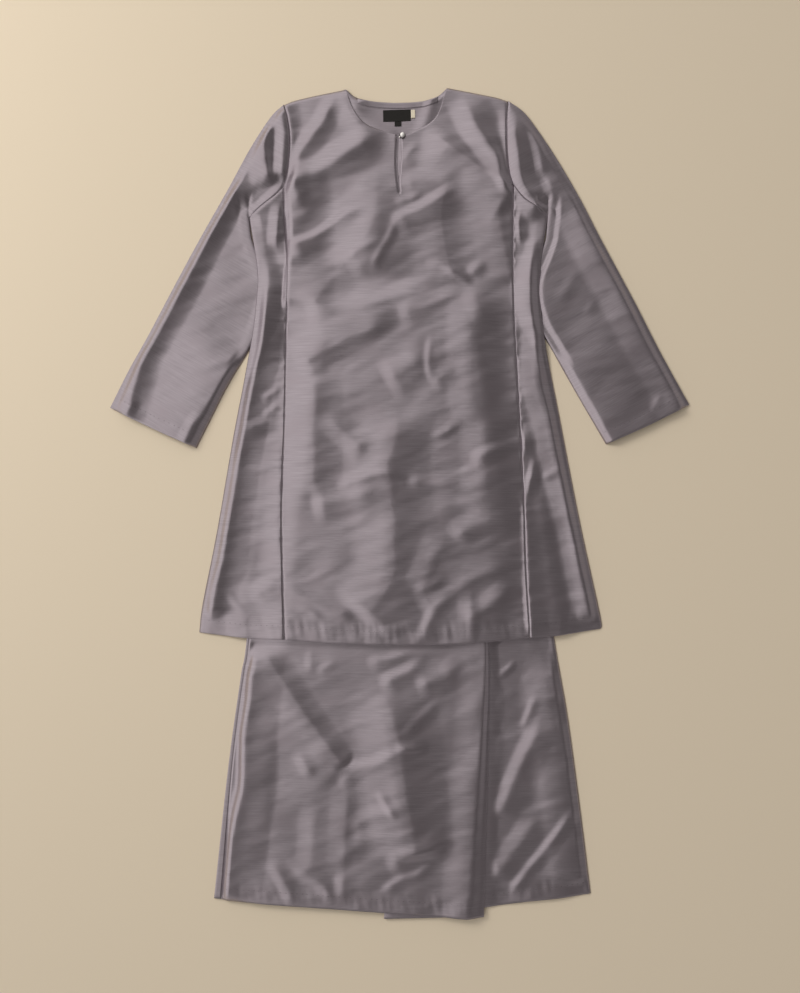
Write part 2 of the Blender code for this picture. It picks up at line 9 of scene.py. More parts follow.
import bmesh
import bpy
import numpy as np
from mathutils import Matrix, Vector


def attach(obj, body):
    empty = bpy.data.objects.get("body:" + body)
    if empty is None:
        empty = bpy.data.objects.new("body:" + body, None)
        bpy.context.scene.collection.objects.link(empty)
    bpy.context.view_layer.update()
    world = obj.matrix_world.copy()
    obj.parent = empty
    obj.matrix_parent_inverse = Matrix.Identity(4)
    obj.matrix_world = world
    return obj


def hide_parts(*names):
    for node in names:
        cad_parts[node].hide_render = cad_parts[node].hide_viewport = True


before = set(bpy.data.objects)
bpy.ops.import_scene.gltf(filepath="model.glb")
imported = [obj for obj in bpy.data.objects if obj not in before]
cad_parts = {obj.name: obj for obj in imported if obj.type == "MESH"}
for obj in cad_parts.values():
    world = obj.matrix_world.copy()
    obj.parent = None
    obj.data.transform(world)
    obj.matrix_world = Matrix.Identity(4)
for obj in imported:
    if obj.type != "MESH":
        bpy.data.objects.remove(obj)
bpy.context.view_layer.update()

MM = 0.001

# The form that the solids have
WALL = 1.0
PITCH = 1.8
TURN_STEPS = 8
SKIRT_CREST = 8.4
PLEAT_LOW = 0.5 * WALL + 3 * PITCH
PLEAT_RIDGE = 3.0
LAYER_GAP = 0.8
TUNIC_PUFF = 1.0
SLEEVE_PUFF = 3.0
SKIRT_RISE = 70.0
UNDER_RISE = 60.0
PAST_FOLD_FALL = 50.0
TUNIC_FALL = 44.0
WAIST_Y = 292.0
WAIST_FALL = 110.0
SLEEVE_TUCK_FALL = 30.0
BAND_HEIGHT = 40.0
CROWN_SHARE = 0.33

# How much wider than its table says each side of a crease is
CLIMB_SPREAD = 1.3
FALL_SPREAD = 1.4
# How far a dip goes below the cloth at the most
LOWEST_DIP = -0.9

# Where the room is brightest: degrees round from +X, and up from the surface
WINDOW = (164.0, -2.8)
BRIGHT_SIDE = (0.94, 0.915, 0.89, 1.0)
DIM_SIDE = (0.058, 0.052, 0.049, 1.0)
# How far from its middle the room is fully bright or dim, as the cosine of an angle
SIDES_REACH = 0.25
# How bright its low walls are at least, and between which heights of direction that fades in
WALLS_SHARE = 0.30
WALLS_START = 0.72
WALLS_FULL = 0.45

# In metres: how high the camera is over the level that it frames, how much it sees there from
# top to bottom, that level's height, and how far up the garment the view's middle is
VIEW_HEIGHT = 1.5
VIEW_LENGTH = 1.6682
VIEW_LEVEL = 0.005
VIEW_CENTRE_Y = 0.0121

# The cloth's colours: between its threads, on them, and in its patches
CLOTH_DARK = (0.375, 0.329, 0.359)
CLOTH_LIGHT = (0.446, 0.394, 0.430)
CLOTH_PATCH = (0.405, 0.352, 0.385)
FLOOR_COLOUR = (0.755, 0.65, 0.50, 1.0)

# The shells
CLOTH = 0.45
HEM_TURN = 0.75
HEM_ROWS = 7

# Steps of the grids: the centre panels have them along the shoulder, the neck and the armhole,
# and below it, the side panels across and down, and the sleeves in the crown, below it and across
FRONT_STEPS = ((26, 34), 45, 238)
BACK_STEPS = ((12, 20), 20, 90)
SIDE_FRONT_STEPS = (34, 238)
SIDE_BACK_STEPS = (12, 90)
SLEEVE_STEPS = (44, 112, 54)

# The stitches: their length, the pitch from one to the next, and their radius
FINE_STITCH = (2.2, 3.1, 0.16)
COARSE_STITCH = (3.2, 9.0, 0.24)
LABEL_STITCH = (1.6, 2.3, 0.14)
# share of its length, how many radii it goes down, share of its radius
STITCH_FORM = ((0.0, 1.1, 0.5), (0.18, 0.2, 0.9), (0.82, 0.2, 0.9), (1.0, 1.1, 0.5))

# Neck trim
FACING_WIDTH = 9.5
PEARL_PLACE = (4.2, 618.6)
PEARL_DIAMETER = 8.0
BEAD_PLACE = (-0.6, 616.2)
BEAD_DIAMETER = 2.6
LOOP_RADIUS = 4.6
LOOP_DIAMETER = 1.2
LABEL_WALL = 0.7
RIBBON = 0.3
LABEL_MAIN = ((-28.7, 662.6), (18.0, 664.2), (18.4, 645.0), (-28.2, 643.0))
LABEL_SIZE = ((-9.2, 643.6), (2.6, 644.0), (2.4, 635.8), (-9.0, 635.4))
LABEL_CARE = ((18.6, 663.0), (24.8, 663.2), (25.0, 649.6), (18.8, 649.2))

# Seam lines and edges of the tunic, each from its upper end
UNDERARM_Y = 484.0
# x, y
NECK_FRONT = [
    (-91, 697), (-84, 675), (-72, 652), (-55, 636), (-30, 627), (-4, 621), (10, 622),
    (28, 629), (45, 637), (60, 650), (69, 668), (74, 686), (79, 700),
]
NECK_BACK = [
    (-91, 697), (-80, 687), (-67, 681), (-45, 677), (-10, 675), (20, 676), (45, 679),
    (62, 685), (71, 692), (79, 700),
]
SHOULDER_LEFT = [(-195, 671), (-178, 678), (-140, 687), (-91, 697)]
SHOULDER_RIGHT = [(79, 700), (120, 692), (160, 684), (182, 677)]
ARMHOLE_LEFT = [(-195, 671), (-189, 649), (-185, 618), (-186, 587), (-190, 556), (-197, 533)]
ARMHOLE_RIGHT = [(182, 677), (179, 635), (180, 592), (184, 556), (191, 534)]
UNDERARM_LEFT = [(-197, 533), (-211, 518), (-234, 500), (-254, 482)]
UNDERARM_RIGHT = [(191, 534), (208, 513), (230, 498), (249, 484)]
SEAM_LEFT = [(-197, 533), (-190, 384), (-192, 255), (-194, 137), (-198, -30), (-193, -227)]
SEAM_RIGHT = [(191, 534), (191, 359), (196, 243), (207, 36), (211, -105), (218, -224)]
SIDE_LEFT = [
    (-254, 482), (-245, 431), (-239, 384), (-241, 345), (-250, 272), (-279, 122),
    (-308, -46), (-332, -167), (-338, -216),
]
SIDE_RIGHT = [
    (249, 484), (241, 434), (236, 395), (236, 345), (245, 264), (264, 169), (301, -22),
    (337, -188), (338, -210),
]
HEM_LEFT = [(-338, -216), (-259, -225), (-193, -227)]
HEM_MIDDLE = [(-193, -227), (-94, -234), (0, -236), (66, -236), (136, -232), (218, -224)]
HEM_RIGHT = [(218, -224), (258, -222), (338, -210)]
KEYHOLE = [(-3, 640), (-3, 612), (-5, 590), (-5.5, 570), (-4, 545), (-1.5, 519)]

# Edges of the sleeves, each from its upper end, the inner ones from the underarm
# x, y
SLEEVE_OUTER_LEFT = [
    (-195, 671), (-217, 650), (-251, 598), (-289, 528), (-336, 445), (-382, 360),
    (-421, 286), (-455, 225), (-487, 161),
]
SLEEVE_OUTER_RIGHT = [
    (182, 677), (208, 658), (234, 624), (266, 575), (302, 513), (335, 449), (394, 339),
    (437, 255), (486, 166),
]
SLEEVE_INNER_LEFT = [
    (-254, 482), (-251, 457), (-248, 442), (-237, 413), (-226, 384), (-222, 358),
    (-228, 326), (-239, 290), (-254, 259), (-290, 199), (-317, 146), (-343, 94),
]
SLEEVE_INNER_RIGHT = [
    (249, 484), (246, 458), (244, 443), (233, 413), (221, 384), (216, 358), (220, 328),
    (233, 297), (253, 264), (272, 230), (298, 184), (330, 129), (347, 100),
]
CUFF_LEFT = [(-487, 161), (-415, 126), (-343, 94)]
CUFF_RIGHT = [(486, 166), (416, 131), (347, 100)]

# Lines of the skirt, each from the waist down
# x, y
SKIRT_LEFT = [(-198, 252), (-232, 40), (-257, -228), (-267, -292), (-288, -443), (-312, -664)]
SKIRT_SEAM = [(-195, 252), (-229, 40), (-254, -228), (-264, -292), (-283, -443), (-301, -665)]
SKIRT_RIGHT = [(185, 252), (222, 40), (259, -222), (282, -357), (303, -511), (321, -656)]
PLEAT_CREASE = [(100, 252), (122, 40), (142, -233), (134, -405), (123, -550), (112, -696)]
PLEAT_FOLD = [(120, 252), (138, 40), (149, -233), (147, -437), (144, -534), (140, -694)]
PLEAT_INNER = [(60, 252), (40, 40), (10, -233), (-6, -437), (-16, -560), (-26, -698)]
OVER_HEM = [(-301, -665), (-207, -673), (-111, -680), (-31, -686), (34, -690), (112, -696)]
UNDER_HEM = [(-26, -698), (142, -679), (208, -670), (272, -663), (321, -656)]
BACK_HEM = [(-312, -664), (-100, -668), (100, -664), (321, -656)]

# outer edge, armhole, underarm, inner edge, cuff
SLEEVES = {
    "left": (SLEEVE_OUTER_LEFT, ARMHOLE_LEFT, UNDERARM_LEFT, SLEEVE_INNER_LEFT, CUFF_LEFT),
    "right": (SLEEVE_OUTER_RIGHT, ARMHOLE_RIGHT, UNDERARM_RIGHT, SLEEVE_INNER_RIGHT, CUFF_RIGHT),
}

# The creases. Each is a ridge or, with a negative height, a trough along a line. It climbs evenly
# on the left of the line, and falls steeply on the right.
# width on the left, width on the right at the start, width on the right at the end, height, line
SHOULDER_FOLDS = [
    (14, 14, 30, 6.5, (
        (-199, 540), (-197, 580), (-195, 615), (-198, 645), (-204, 668), (-212, 700), (-218, 730),
    )),
    (26, 24, 24, 9.0, (
        (244, 486), (230, 502), (212, 524), (203, 545), (199, 570), (196, 595), (193, 620),
        (194, 645), (199, 668),
    )),
    (14, 30, 22, 5.0, (
        (-256, 466), (-244, 484), (-232, 496), (-214, 511), (-200, 526), (-192, 540),
    )),
]
NECK_FOLDS = [
    (10, 20, 20, 2.6, (
        (0, 606), (-22, 617), (-44, 632), (-62, 648), (-76, 668), (-86, 692), (-94, 724),
        (-98, 760),
    )),
    (10, 18, 18, 2.4, ((-110, 634), (-86, 661), (-58, 679), (-20, 690), (30, 694), (76, 700))),
    (12, 14, 12, 2.2, ((26, 600), (34, 618), (42, 640), (50, 664), (58, 700), (64, 736))),
]
BODY_FOLDS = [
    # the folds that run from the armholes to the neck
    (26, 44, 26, 9.5, (
        (-200, 530), (-165, 545), (-140, 553), (-120, 565), (-100, 580), (-80, 594), (-60, 606),
        (-40, 614), (-16, 618),
    )),
    (16, 26, 12, 5.0, (
        (-192, 548), (-175, 580), (-158, 602), (-144, 622), (-129, 642), (-121, 660), (-110, 682),
        (-106, 700),
    )),
    (40, 20, 20, 4.0, ((-104, 700), (-92, 676), (-80, 652), (-62, 634), (-36, 624))),
    (56, 18, 16, 8.0, (
        (206, 516), (192, 528), (165, 546), (140, 560), (115, 579), (90, 596), (62, 614), (36, 626),
    )),
    (26, 26, 30, 9.0, (
        (200, 524), (190, 545), (182, 560), (166, 578), (150, 600), (137, 620), (124, 642),
        (113, 664), (102, 694),
    )),
    (10, 30, 14, 4.4, (
        (-192, 426), (-165, 438), (-148, 445), (-130, 456), (-110, 471), (-95, 483), (-76, 492),
        (-52, 496),
    )),
    (8, 56, 46, 7.5, (
        (-190, 322), (-188, 360), (-185, 400), (-182, 430), (-182, 470), (-184, 505), (-188, 532),
        (-192, 566), (-196, 600),
    )),
    (44, 30, 30, 3.4, ((-156, 322), (-120, 372), (-85, 415), (-55, 455), (-44, 486), (-44, 512))),
    (70, 88, 70, 7.5, ((-52, 380), (-42, 430), (-40, 480), (-42, 530), (-38, 580))),
    (30, 26, 20, 1.6, ((-84, 386), (-60, 402), (-30, 414), (0, 420), (40, 424))),
    (14, 16, 12, 1.6, ((40, 404), (70, 396), (100, 384), (122, 366))),
    (12, 14, 12, 2.2, ((118, 378), (126, 392), (148, 402))),
    (12, 14, 10, 1.0, ((-188, 470), (-166, 480), (-150, 492), (-140, 506))),
    (12, 12, 10, 0.9, ((-186, 500), (-168, 515), (-150, 532))),
    (10, 9, 9, 2.0, ((-96, 408), (-75, 421), (-52, 433), (-24, 446))),
    (8, 9, 9, 1.3, ((-48, 388), (-33, 420), (-18, 445), (-8, 470), (0, 494))),
    (14, 30, 26, 3.6, ((-14, 468), (12, 483), (35, 493), (58, 506), (84, 524), (100, 540))),
    (10, 12, 10, 2.0, ((-12, 508), (8, 508), (24, 512), (42, 524))),
    (20, 26, 26, 2.5, ((-2, 532), (30, 540), (75, 545), (108, 551))),
    (10, 14, 14, 1.4, ((2, 570), (16, 590), (38, 608))),
    (60, 26, 22, 3.0, (
        (188, 366), (182, 392), (176, 425), (170, 455), (166, 480), (168, 505), (182, 532),
    )),
    (50, 36, 34, 3.0, ((92, 366), (80, 405), (72, 450), (68, 485), (74, 520), (84, 556))),
    (9, 11, 9, 1.8, ((126, 368), (100, 383), (78, 397), (54, 411))),
    # the waist
    (46, 22, 16, 4.6, (
        (-174, 230), (-140, 250), (-115, 262), (-90, 275), (-60, 287), (-35, 298), (0, 310),
    )),
    (24, 30, 22, 3.5, ((-160, 318), (-100, 327), (-50, 333), (-15, 343), (25, 353), (70, 360))),
    (18, 26, 18, 2.6, ((-6, 318), (30, 326), (70, 341), (112, 362))),
    (36, 46, 40, 2.6, (
        (128, -26), (139, 15), (142, 60), (143, 100), (141, 135), (128, 154), (119, 178),
        (118, 220), (118, 260), (119, 300), (120, 345), (125, 386),
    )),
    (14, 15, 12, 2.6, ((116, 70), (145, 83), (168, 91), (204, 96))),
    (12, 10, 9, 1.8, ((48, 112), (72, 117), (90, 128), (108, 142))),
    (8, 36, 36, 1.8, ((57, 200), (50, 225), (49, 250), (55, 290))),
    (30, 40, 26, 3.5, ((-28, 204), (2, 221), (30, 238), (56, 258))),
    (16, 18, 16, 2.0, ((50, 196), (70, 211), (96, 226))),
    (20, 30, 30, 1.4, ((168, 250), (150, 296), (128, 340), (118, 372))),
    # below the waist
    (46, 34, 34, 4.4, (
        (-140, 6), (-145, 50), (-144, 90), (-146, 125), (-142, 160), (-146, 200), (-152, 238),
    )),
    (22, 20, 20, 2.8, ((-54, 82), (-85, 112), (-105, 130), (-126, 154))),
    (60, 56, 44, 6.0, (
        (-66, -196), (-40, -164), (-22, -138), (-10, -108), (-12, -60), (-11, -30), (-16, 5),
        (-17, 34), (-22, 64), (-12, 95), (-6, 130), (-12, 174),
    )),
    (14, 10, 9, 2.6, ((-106, 26), (-75, 38), (-50, 46), (-25, 49), (-2, 46), (20, 36))),
    (16, 11, 11, 2.6, ((8, 35), (45, 33), (78, 30), (112, 25))),
    (26, 30, 24, 4.5, ((-150, -2), (-110, 5), (-85, 7), (-62, 15), (-28, 32))),
    (24, 18, 18, 2.6, ((90, -64), (106, -46), (125, -36), (150, -33), (180, -32), (208, -28))),
    (30, 34, 34, 3.0, ((34, -152), (50, -114), (62, -80), (82, -42))),
    (12, 10, 10, 2.0, ((18, -150), (42, -143), (60, -134), (82, -114))),
    (30, 18, 14, 2.6, (
        (34, -184), (75, -160), (100, -143), (125, -127), (150, -114), (175, -108), (212, -102),
    )),
    (20, 22, 20, 2.8, (
        (108, -198), (128, -184), (145, -173), (162, -162), (177, -146), (190, -118),
    )),
    (12, 20, 18, 2.0, ((32, -240), (48, -200), (62, -178), (88, -158))),
    (20, 12, 12, 1.8, ((122, -238), (120, -205), (118, -175), (120, -130))),
    (12, 8, 8, 2.0, ((-74, -190), (-110, -178), (-140, -165), (-165, -155), (-196, -140))),
    (9, 8, 8, 1.3, ((-126, -196), (-152, -177), (-194, -160))),
    # the side panels
    (20, 32, 24, 10.0, (
        (-310, -196), (-319, -154), (-309, -122), (-300, -103), (-294, -70), (-290, -30),
        (-283, 10), (-278, 50), (-272, 82), (-264, 115), (-259, 150), (-252, 195), (-246, 222),
        (-232, 258), (-227, 300), (-226, 345), (-227, 385), (-236, 415),
    )),
    (44, 8, 8, 1.4, ((-205, -90), (-204, -30), (-203, 40), (-202, 124))),
    (14, 10, 12, 3.5, ((-208, 424), (-207, 455), (-204, 485), (-200, 516))),
    (18, 26, 24, 3.2, ((-250, -166), (-235, -149), (-218, -141), (-196, -130))),
    (12, 12, 12, 2.4, ((-266, 121), (-240, 131), (-220, 138), (-196, 148))),
    (8, 8, 8, 1.6, ((-232, 146), (-212, 158), (-197, 170))),
    (8, 9, 8, 1.6, ((-234, 172), (-214, 184), (-197, 197))),
    (8, 8, 8, 1.0, ((-258, -186), (-275, -166), (-293, -143))),
    (30, 24, 20, 7.0, (
        (325, -206), (318, -165), (307, -108), (297, -55), (283, 3), (273, 46), (260, 98),
        (253, 135), (243, 172), (234, 205), (234, 240), (235, 285), (230, 312), (225, 340),
        (227, 370), (227, 400), (231, 440), (238, 476),
    )),
    (6, 88, 26, 3.4, ((219, -228), (214, -160), (213, -100), (211, -40), (209, 30))),
    (5, 14, 14, 2.4, ((208, 70), (209, 100), (206, 134))),
    (8, 14, 12, 2.8, ((212, 4), (219, 40), (228, 82))),
    (8, 9, 8, 1.4, ((234, 40), (255, 50), (276, 61))),
    (6, 12, 12, 2.0, ((204, 430), (200, 468), (205, 508))),
]
LEFT_SLEEVE_FOLDS = [
    (20, 25, 20, 8.5, (
        (-468, 118), (-456, 160), (-440, 214), (-432, 246), (-420, 268), (-400, 303), (-380, 338),
        (-360, 374), (-341, 412), (-321, 452), (-301, 487), (-281, 518), (-264, 545), (-254, 590),
    )),
    (28, 15, 15, 8.5, ((-215, 532), (-223, 562), (-227, 600), (-222, 630), (-211, 662))),
    (90, 24, 22, 6.0, (
        (-372, 78), (-352, 118), (-330, 156), (-302, 205), (-280, 242), (-264, 268),
    )),
    (12, 22, 18, 3.0, ((-374, 76), (-364, 98), (-352, 124), (-340, 143), (-322, 156))),
    (8, 9, 9, 1.8, ((-462, 148), (-448, 163), (-452, 182))),
]
RIGHT_SLEEVE_FOLDS = [
    (36, 20, 22, 4.8, (
        (486, 126), (470, 158), (452, 203), (426, 248), (398, 300), (371, 353), (343, 402),
        (316, 455), (292, 508), (276, 548),
    )),
    (10, 96, 70, 5.5, (
        (368, 78), (352, 106), (334, 146), (311, 188), (289, 226), (270, 258), (254, 288),
        (243, 320), (237, 360), (238, 410), (244, 460), (252, 506),
    )),
    (14, 22, 18, 2.6, ((264, 470), (259, 504), (253, 535), (244, 562))),
    (12, 20, 18, 3.0, ((242, 545), (236, 580), (229, 612), (216, 650))),
    (12, 14, 12, 0.8, ((262, 334), (276, 352), (292, 376), (306, 392))),
    (10, 12, 10, 0.7, ((308, 312), (322, 332), (334, 352))),
    (8, 10, 9, 0.9, ((420, 150), (430, 168), (444, 186))),
]
HEM_DIPS = [
    (6, 44, 44, -2.2, (
        (-290, -239), (-200, -237), (-100, -242), (0, -244), (66, -243), (160, -239),
    )),
    (9, 44, 44, -0.9, ((130, -242), (218, -232), (258, -230), (300, -230))),
]
SKIRT_FOLDS = [
    (60, 19, 23, 3.8, (
        (-84, -452), (-100, -434), (-125, -400), (-148, -368), (-172, -334), (-206, -282),
        (-240, -232), (-252, -210),
    )),
    (6, 6, 6, -1.6, ((-114, -440), (-96, -441), (-83, -432), (-76, -412))),
    (10, 46, 34, 11.5, (
        (-300, -674), (-297, -650), (-288, -600), (-281, -555), (-272, -510), (-264, -475),
        (-262, -430), (-261, -385), (-256, -352), (-252, -325), (-249, -290), (-244, -268),
        (-241, -240), (-238, -205),
    )),
    (10, 9, 9, 1.4, ((-212, -341), (-176, -346), (-146, -360))),
    (14, 12, 12, 1.6, ((-142, -460), (-158, -436), (-174, -408))),
    (14, 15, 12, 2.2, (
        (-104, -474), (-96, -466), (-85, -454), (-62, -441), (-35, -432), (-5, -417), (12, -408),
    )),
    (14, 9, 9, 3.2, ((-12, -408), (18, -411), (52, -408))),
    (26, 12, 12, 1.3, ((-97, -622), (-92, -560), (-89, -510), (-88, -462))),
    (24, 26, 24, 1.7, ((-152, -622), (-146, -575), (-143, -530), (-126, -498))),
    (64, 46, 56, 7.0, (
        (24, -604), (20, -545), (12, -505), (6, -470), (2, -435), (-2, -405), (-8, -380),
        (-16, -350), (-28, -322), (-40, -296),
    )),
    (12, 14, 14, 2.2, ((-58, -268), (-20, -262), (10, -252), (50, -243), (98, -228))),
    (14, 20, 18, 3.0, ((-36, -306), (-5, -290), (20, -277), (52, -256))),
    (22, 22, 20, 3.0, ((24, -306), (55, -297), (80, -289), (110, -262))),
    (10, 12, 12, 1.0, ((2, -388), (35, -360), (58, -338), (78, -316))),
    (20, 26, 18, 3.0, ((-24, -610), (10, -594), (40, -582), (88, -558))),
    (9, 14, 12, 2.0, ((-34, -654), (0, -632), (30, -622), (64, -600))),
    (14, 18, 16, 2.0, ((-99, -676), (-96, -640), (-90, -608))),
    (16, 18, 16, 1.4, ((-96, -600), (-72, -573), (-40, -560), (-5, -560), (28, -568))),
    (20, 16, 16, 1.8, ((-86, -550), (-50, -526), (-10, -520), (26, -530))),
    (8, 9, 9, 1.6, ((-3, -530), (-22, -505), (-40, -474))),
    (14, 16, 14, 2.0, ((-174, -676), (-190, -640), (-205, -615), (-226, -594))),
    (14, 14, 14, 2.4, ((-108, -672), (-128, -640), (-155, -622), (-196, -602))),
    (8, 9, 9, 0.9, ((-140, -286), (-120, -272), (-100, -262))),
    (10, 12, 12, 0.9, ((-148, -288), (-149, -255), (-143, -230))),
    # the layer under the pleat
    (50, 20, 18, 4.5, (
        (306, -648), (299, -600), (293, -548), (286, -500), (278, -430), (268, -370), (258, -300),
        (250, -236),
    )),
    (18, 32, 20, 3.2, (
        (166, -534), (186, -482), (200, -450), (214, -418), (228, -388), (242, -356),
    )),
    (8, 9, 9, 1.4, ((204, -386), (218, -352), (233, -314))),
    (22, 28, 22, 2.8, ((158, -634), (182, -600), (200, -575), (218, -548), (242, -510))),
    (10, 13, 12, 2.6, ((184, -660), (215, -618), (245, -580), (270, -548), (298, -506))),
    (10, 14, 12, 2.4, ((160, -300), (180, -280), (204, -254))),
]


def ramp(share, bend=0.26):
    """A slope that climbs evenly from 0 to 1, with a soft bend at its foot and its top."""
    share = np.clip(share, 0.0, 1.0)
    steep = 1.0 / (1.0 - bend)
    foot = steep * share**2 / (2.0 * bend)
    top = 1.0 - steep * (1.0 - share) ** 2 / (2.0 * bend)
    middle = steep * (share - 0.5 * bend)
    return np.where(share < bend, foot, np.where(share > 1.0 - bend, top, middle))


def soft_step(value, start, end):
    """0 before start, 1 past end, with a smooth climb between them."""
    share = np.clip((value - start) / (end - start), 0.0, 1.0)
    return share * share * (3.0 - 2.0 * share)


def resample(line, count):
    """A line again, as points that are evenly spaced along it."""
    steps = np.linalg.norm(np.diff(line, axis=0), axis=1)
    along = np.concatenate([[0.0], np.cumsum(steps)])
    places = np.linspace(0.0, along[-1], count)
    return np.column_stack([np.interp(places, along, line[:, k]) for k in range(line.shape[1])])


def smooth(table, count):
    """Evenly spaced points on the smooth line through a table's points."""
    points = np.array(table, float)
    ends = np.vstack([2 * points[0] - points[1], points, 2 * points[-1] - points[-2]])
    t = np.linspace(0.0, 1.0, 12, endpoint=False)[:, None]
    pieces = []
    for a, b, c, d in zip(ends, ends[1:], ends[2:], ends[3:]):
        cubic = (3 * b - a - 3 * c + d) * t**3 + (2 * a - 5 * b + 4 * c - d) * t**2
        pieces.append(b + 0.5 * (cubic + (c - a) * t))
    return resample(np.vstack(pieces + [points[-1:]]), count)


def run(line):
    return np.linalg.norm(np.diff(line, axis=0), axis=1).sum()


def joined(*lines):
    """Lines end to end, with each shared point once."""
    return np.vstack([lines[0]] + [line[1:] for line in lines[1:]])


def x_on(table, y):
    """Where a line that runs down the garment is at each height."""
    line = smooth(table, 160)[::-1]
    return np.interp(y, line[:, 1], line[:, 0])


def shares(line):
    steps = np.linalg.norm(np.diff(line, axis=0), axis=1)
    along = np.concatenate([[0.0], np.cumsum(steps)])
    return along / along[-1]


def patch(top, bottom, left, right):
    """Rows of points that fill the space between four lines which meet at their ends."""
    u = 0.5 * (shares(top) + shares(bottom))[None, :, None]
    v = 0.5 * (shares(left) + shares(right))[:, None, None]
    across = (1 - v) * top[None] + v * bottom[None]
    down = (1 - u) * left[:, None] + u * right[:, None]
    upper = (1 - u) * top[0] + u * top[-1]
    lower = (1 - u) * bottom[0] + u * bottom[-1]
    return across + down - (1 - v) * upper - v * lower


def beside(x, y, line):
    """The distance from a line, minus on its left, and how far along it that is, from 0 to 1."""
    starts, ends = line[:-1], line[1:]
    along = shares(line)
    best = np.full(x.shape, 1e9)
    side = np.zeros(x.shape)
    place = np.zeros(x.shape)
    for start, end, a, b in zip(starts, ends, along, along[1:]):
        step = end - start
        length = math.hypot(*step)
        t = np.clip(((x - start[0]) * step[0] + (y - start[1]) * step[1]) / length**2, 0.0, 1.0)
        dx = x - start[0] - t * step[0]
        dy = y - start[1] - t * step[1]
        away = np.hypot(dx, dy)
        nearer = away < best
        best = np.where(nearer, away, best)
        side = np.where(nearer, np.where(dx * step[1] - dy * step[0] < 0, -away, away), side)
        place = np.where(nearer, a + t * (b - a), place)
    return side, place


def fall(share):
    """The far side of a crease: steep past its line, and ever gentler away from it."""
    share = np.clip(np.sqrt(share**2 + 0.004) - 0.063, 0.0, 1.0)
    return (1.0 - share) ** 1.5


def crease_height(x, y, folds):
    """How far the creases lift the cloth at each point."""
    total = np.zeros(x.shape)
    flat_x, flat_y, flat_total = x.ravel(), y.ravel(), total.ravel()
    for left, right_start, right_end, height, points in folds:
        line = smooth(points, 4 * len(points))
        reach = max(CLIMB_SPREAD * left, FALL_SPREAD * right_start, FALL_SPREAD * right_end)
        low, high = line.min(axis=0) - reach, line.max(axis=0) + reach
        near = (flat_x > low[0]) & (flat_x < high[0]) & (flat_y > low[1]) & (flat_y < high[1])
        if not near.any():
            continue
        side, place = beside(flat_x[near], flat_y[near], line)
        right = FALL_SPREAD * (right_start + (right_end - right_start) * place)
        climb = ramp(1.0 + side / (CLIMB_SPREAD * left))
        shape = np.where(side < 0, climb, fall(np.abs(side) / right))
        length = run(line)
        start, end = min(0.36, 24.0 / length), min(0.5, 30.0 / length + 0.12)
        ends = soft_step(place, 0.0, start) * (1.0 - soft_step(place, 1.0 - end, 1.0))
        flat_total[near] += height * ends * shape
    return flat_total.reshape(x.shape)


def ripple(place, seed):
    """An uneven wave between -1 and 1, with about one bend for each unit of its place."""
    heights = np.random.default_rng(seed).uniform(-1.0, 1.0, 512)
    low = np.floor(place).astype(int)
    share = place - low
    share = share * share * (3.0 - 2.0 * share)
    return heights[low % 512] * (1 - share) + heights[(low + 1) % 512] * share


def unevenness(x, y, seed, size):
    """A soft, uneven surface between -1 and 1, with bumps of about the given size."""
    heights = np.random.default_rng(seed).uniform(-1.0, 1.0, (256, 256))
    u, v = x / size, y / size
    i, j = np.floor(u).astype(int), np.floor(v).astype(int)
    a, b = u - i, v - j
    a, b = a * a * (3.0 - 2.0 * a), b * b * (3.0 - 2.0 * b)
    near = heights[i % 256, j % 256] * (1 - a) + heights[(i + 1) % 256, j % 256] * a
    far = heights[i % 256, (j + 1) % 256] * (1 - a) + heights[(i + 1) % 256, (j + 1) % 256] * a
    return near * (1 - b) + far * b


def slack(x, y):
    """The small unevenness that the whole cloth has, longer along its ribs than across them."""
    tilted = y - 0.25 * x
    broad = unevenness(x, 1.3 * tilted, 3, 54.0)
    narrow = 0.46 * unevenness(0.7 * x, 2.0 * tilted, 5, 26.0)
    fine = 0.14 * unevenness(0.6 * x, 2.2 * tilted, 7, 14.0)
    return broad + narrow + fine


def seam_pull(x, y, seams):
    """How the cloth dips at its seams, with the short puckers that the stitching draws in."""
    total = np.zeros(x.shape)
    for seed, (table, dip, pucker, pitch, reach) in enumerate(seams):
        line = smooth(table, 60)
        side, place = beside(x, y, line)
        away = np.abs(side)
        wave = ripple(place * run(line) / pitch, 20 + seed) * soft_step(away, 0.0, 4.0)
        total += pucker * wave * np.exp(-away / reach) - dip * np.exp(-((away / 2.0) ** 2))
    return total


def hem_pull(x, y, hem_y, width, pucker, seed):
    """The puckers between a hem's stitches and its edge."""
    above = y - hem_y
    across = ripple((x + 0.3 * above) / 8.5, seed) + 0.6 * ripple(x / 4.6, seed + 1)
    shown = soft_step(above, -2.0, 8.0) * (1.0 - soft_step(above, width, width + 22.0))
    return pucker * across * shown


def skirt_rise(x, y):
    """How high the skirt's left side stands over its edge, from 0 to 1."""
    edge = x_on(SKIRT_SEAM, y)
    return soft_step(x, edge + 2.0, edge + SKIRT_RISE)


def skirt_top(x, y):
    """The top of the skirt under the tunic, smoothed past the pleat's folded edge."""
    low = WALL + PITCH
    crest = SKIRT_CREST - 0.5 * WALL - PITCH
    flat = PLEAT_LOW - 0.5 * WALL - PITCH
    fold = x_on(PLEAT_FOLD, y) + 3.0
    past_fold = soft_step(x, fold, fold + PAST_FOLD_FALL)
    inside = soft_step(x_on(SKIRT_RIGHT, y) - x, 0.0, UNDER_RISE)
    return low + (crest * skirt_rise(x, y) - (crest - flat) * past_fold) * inside


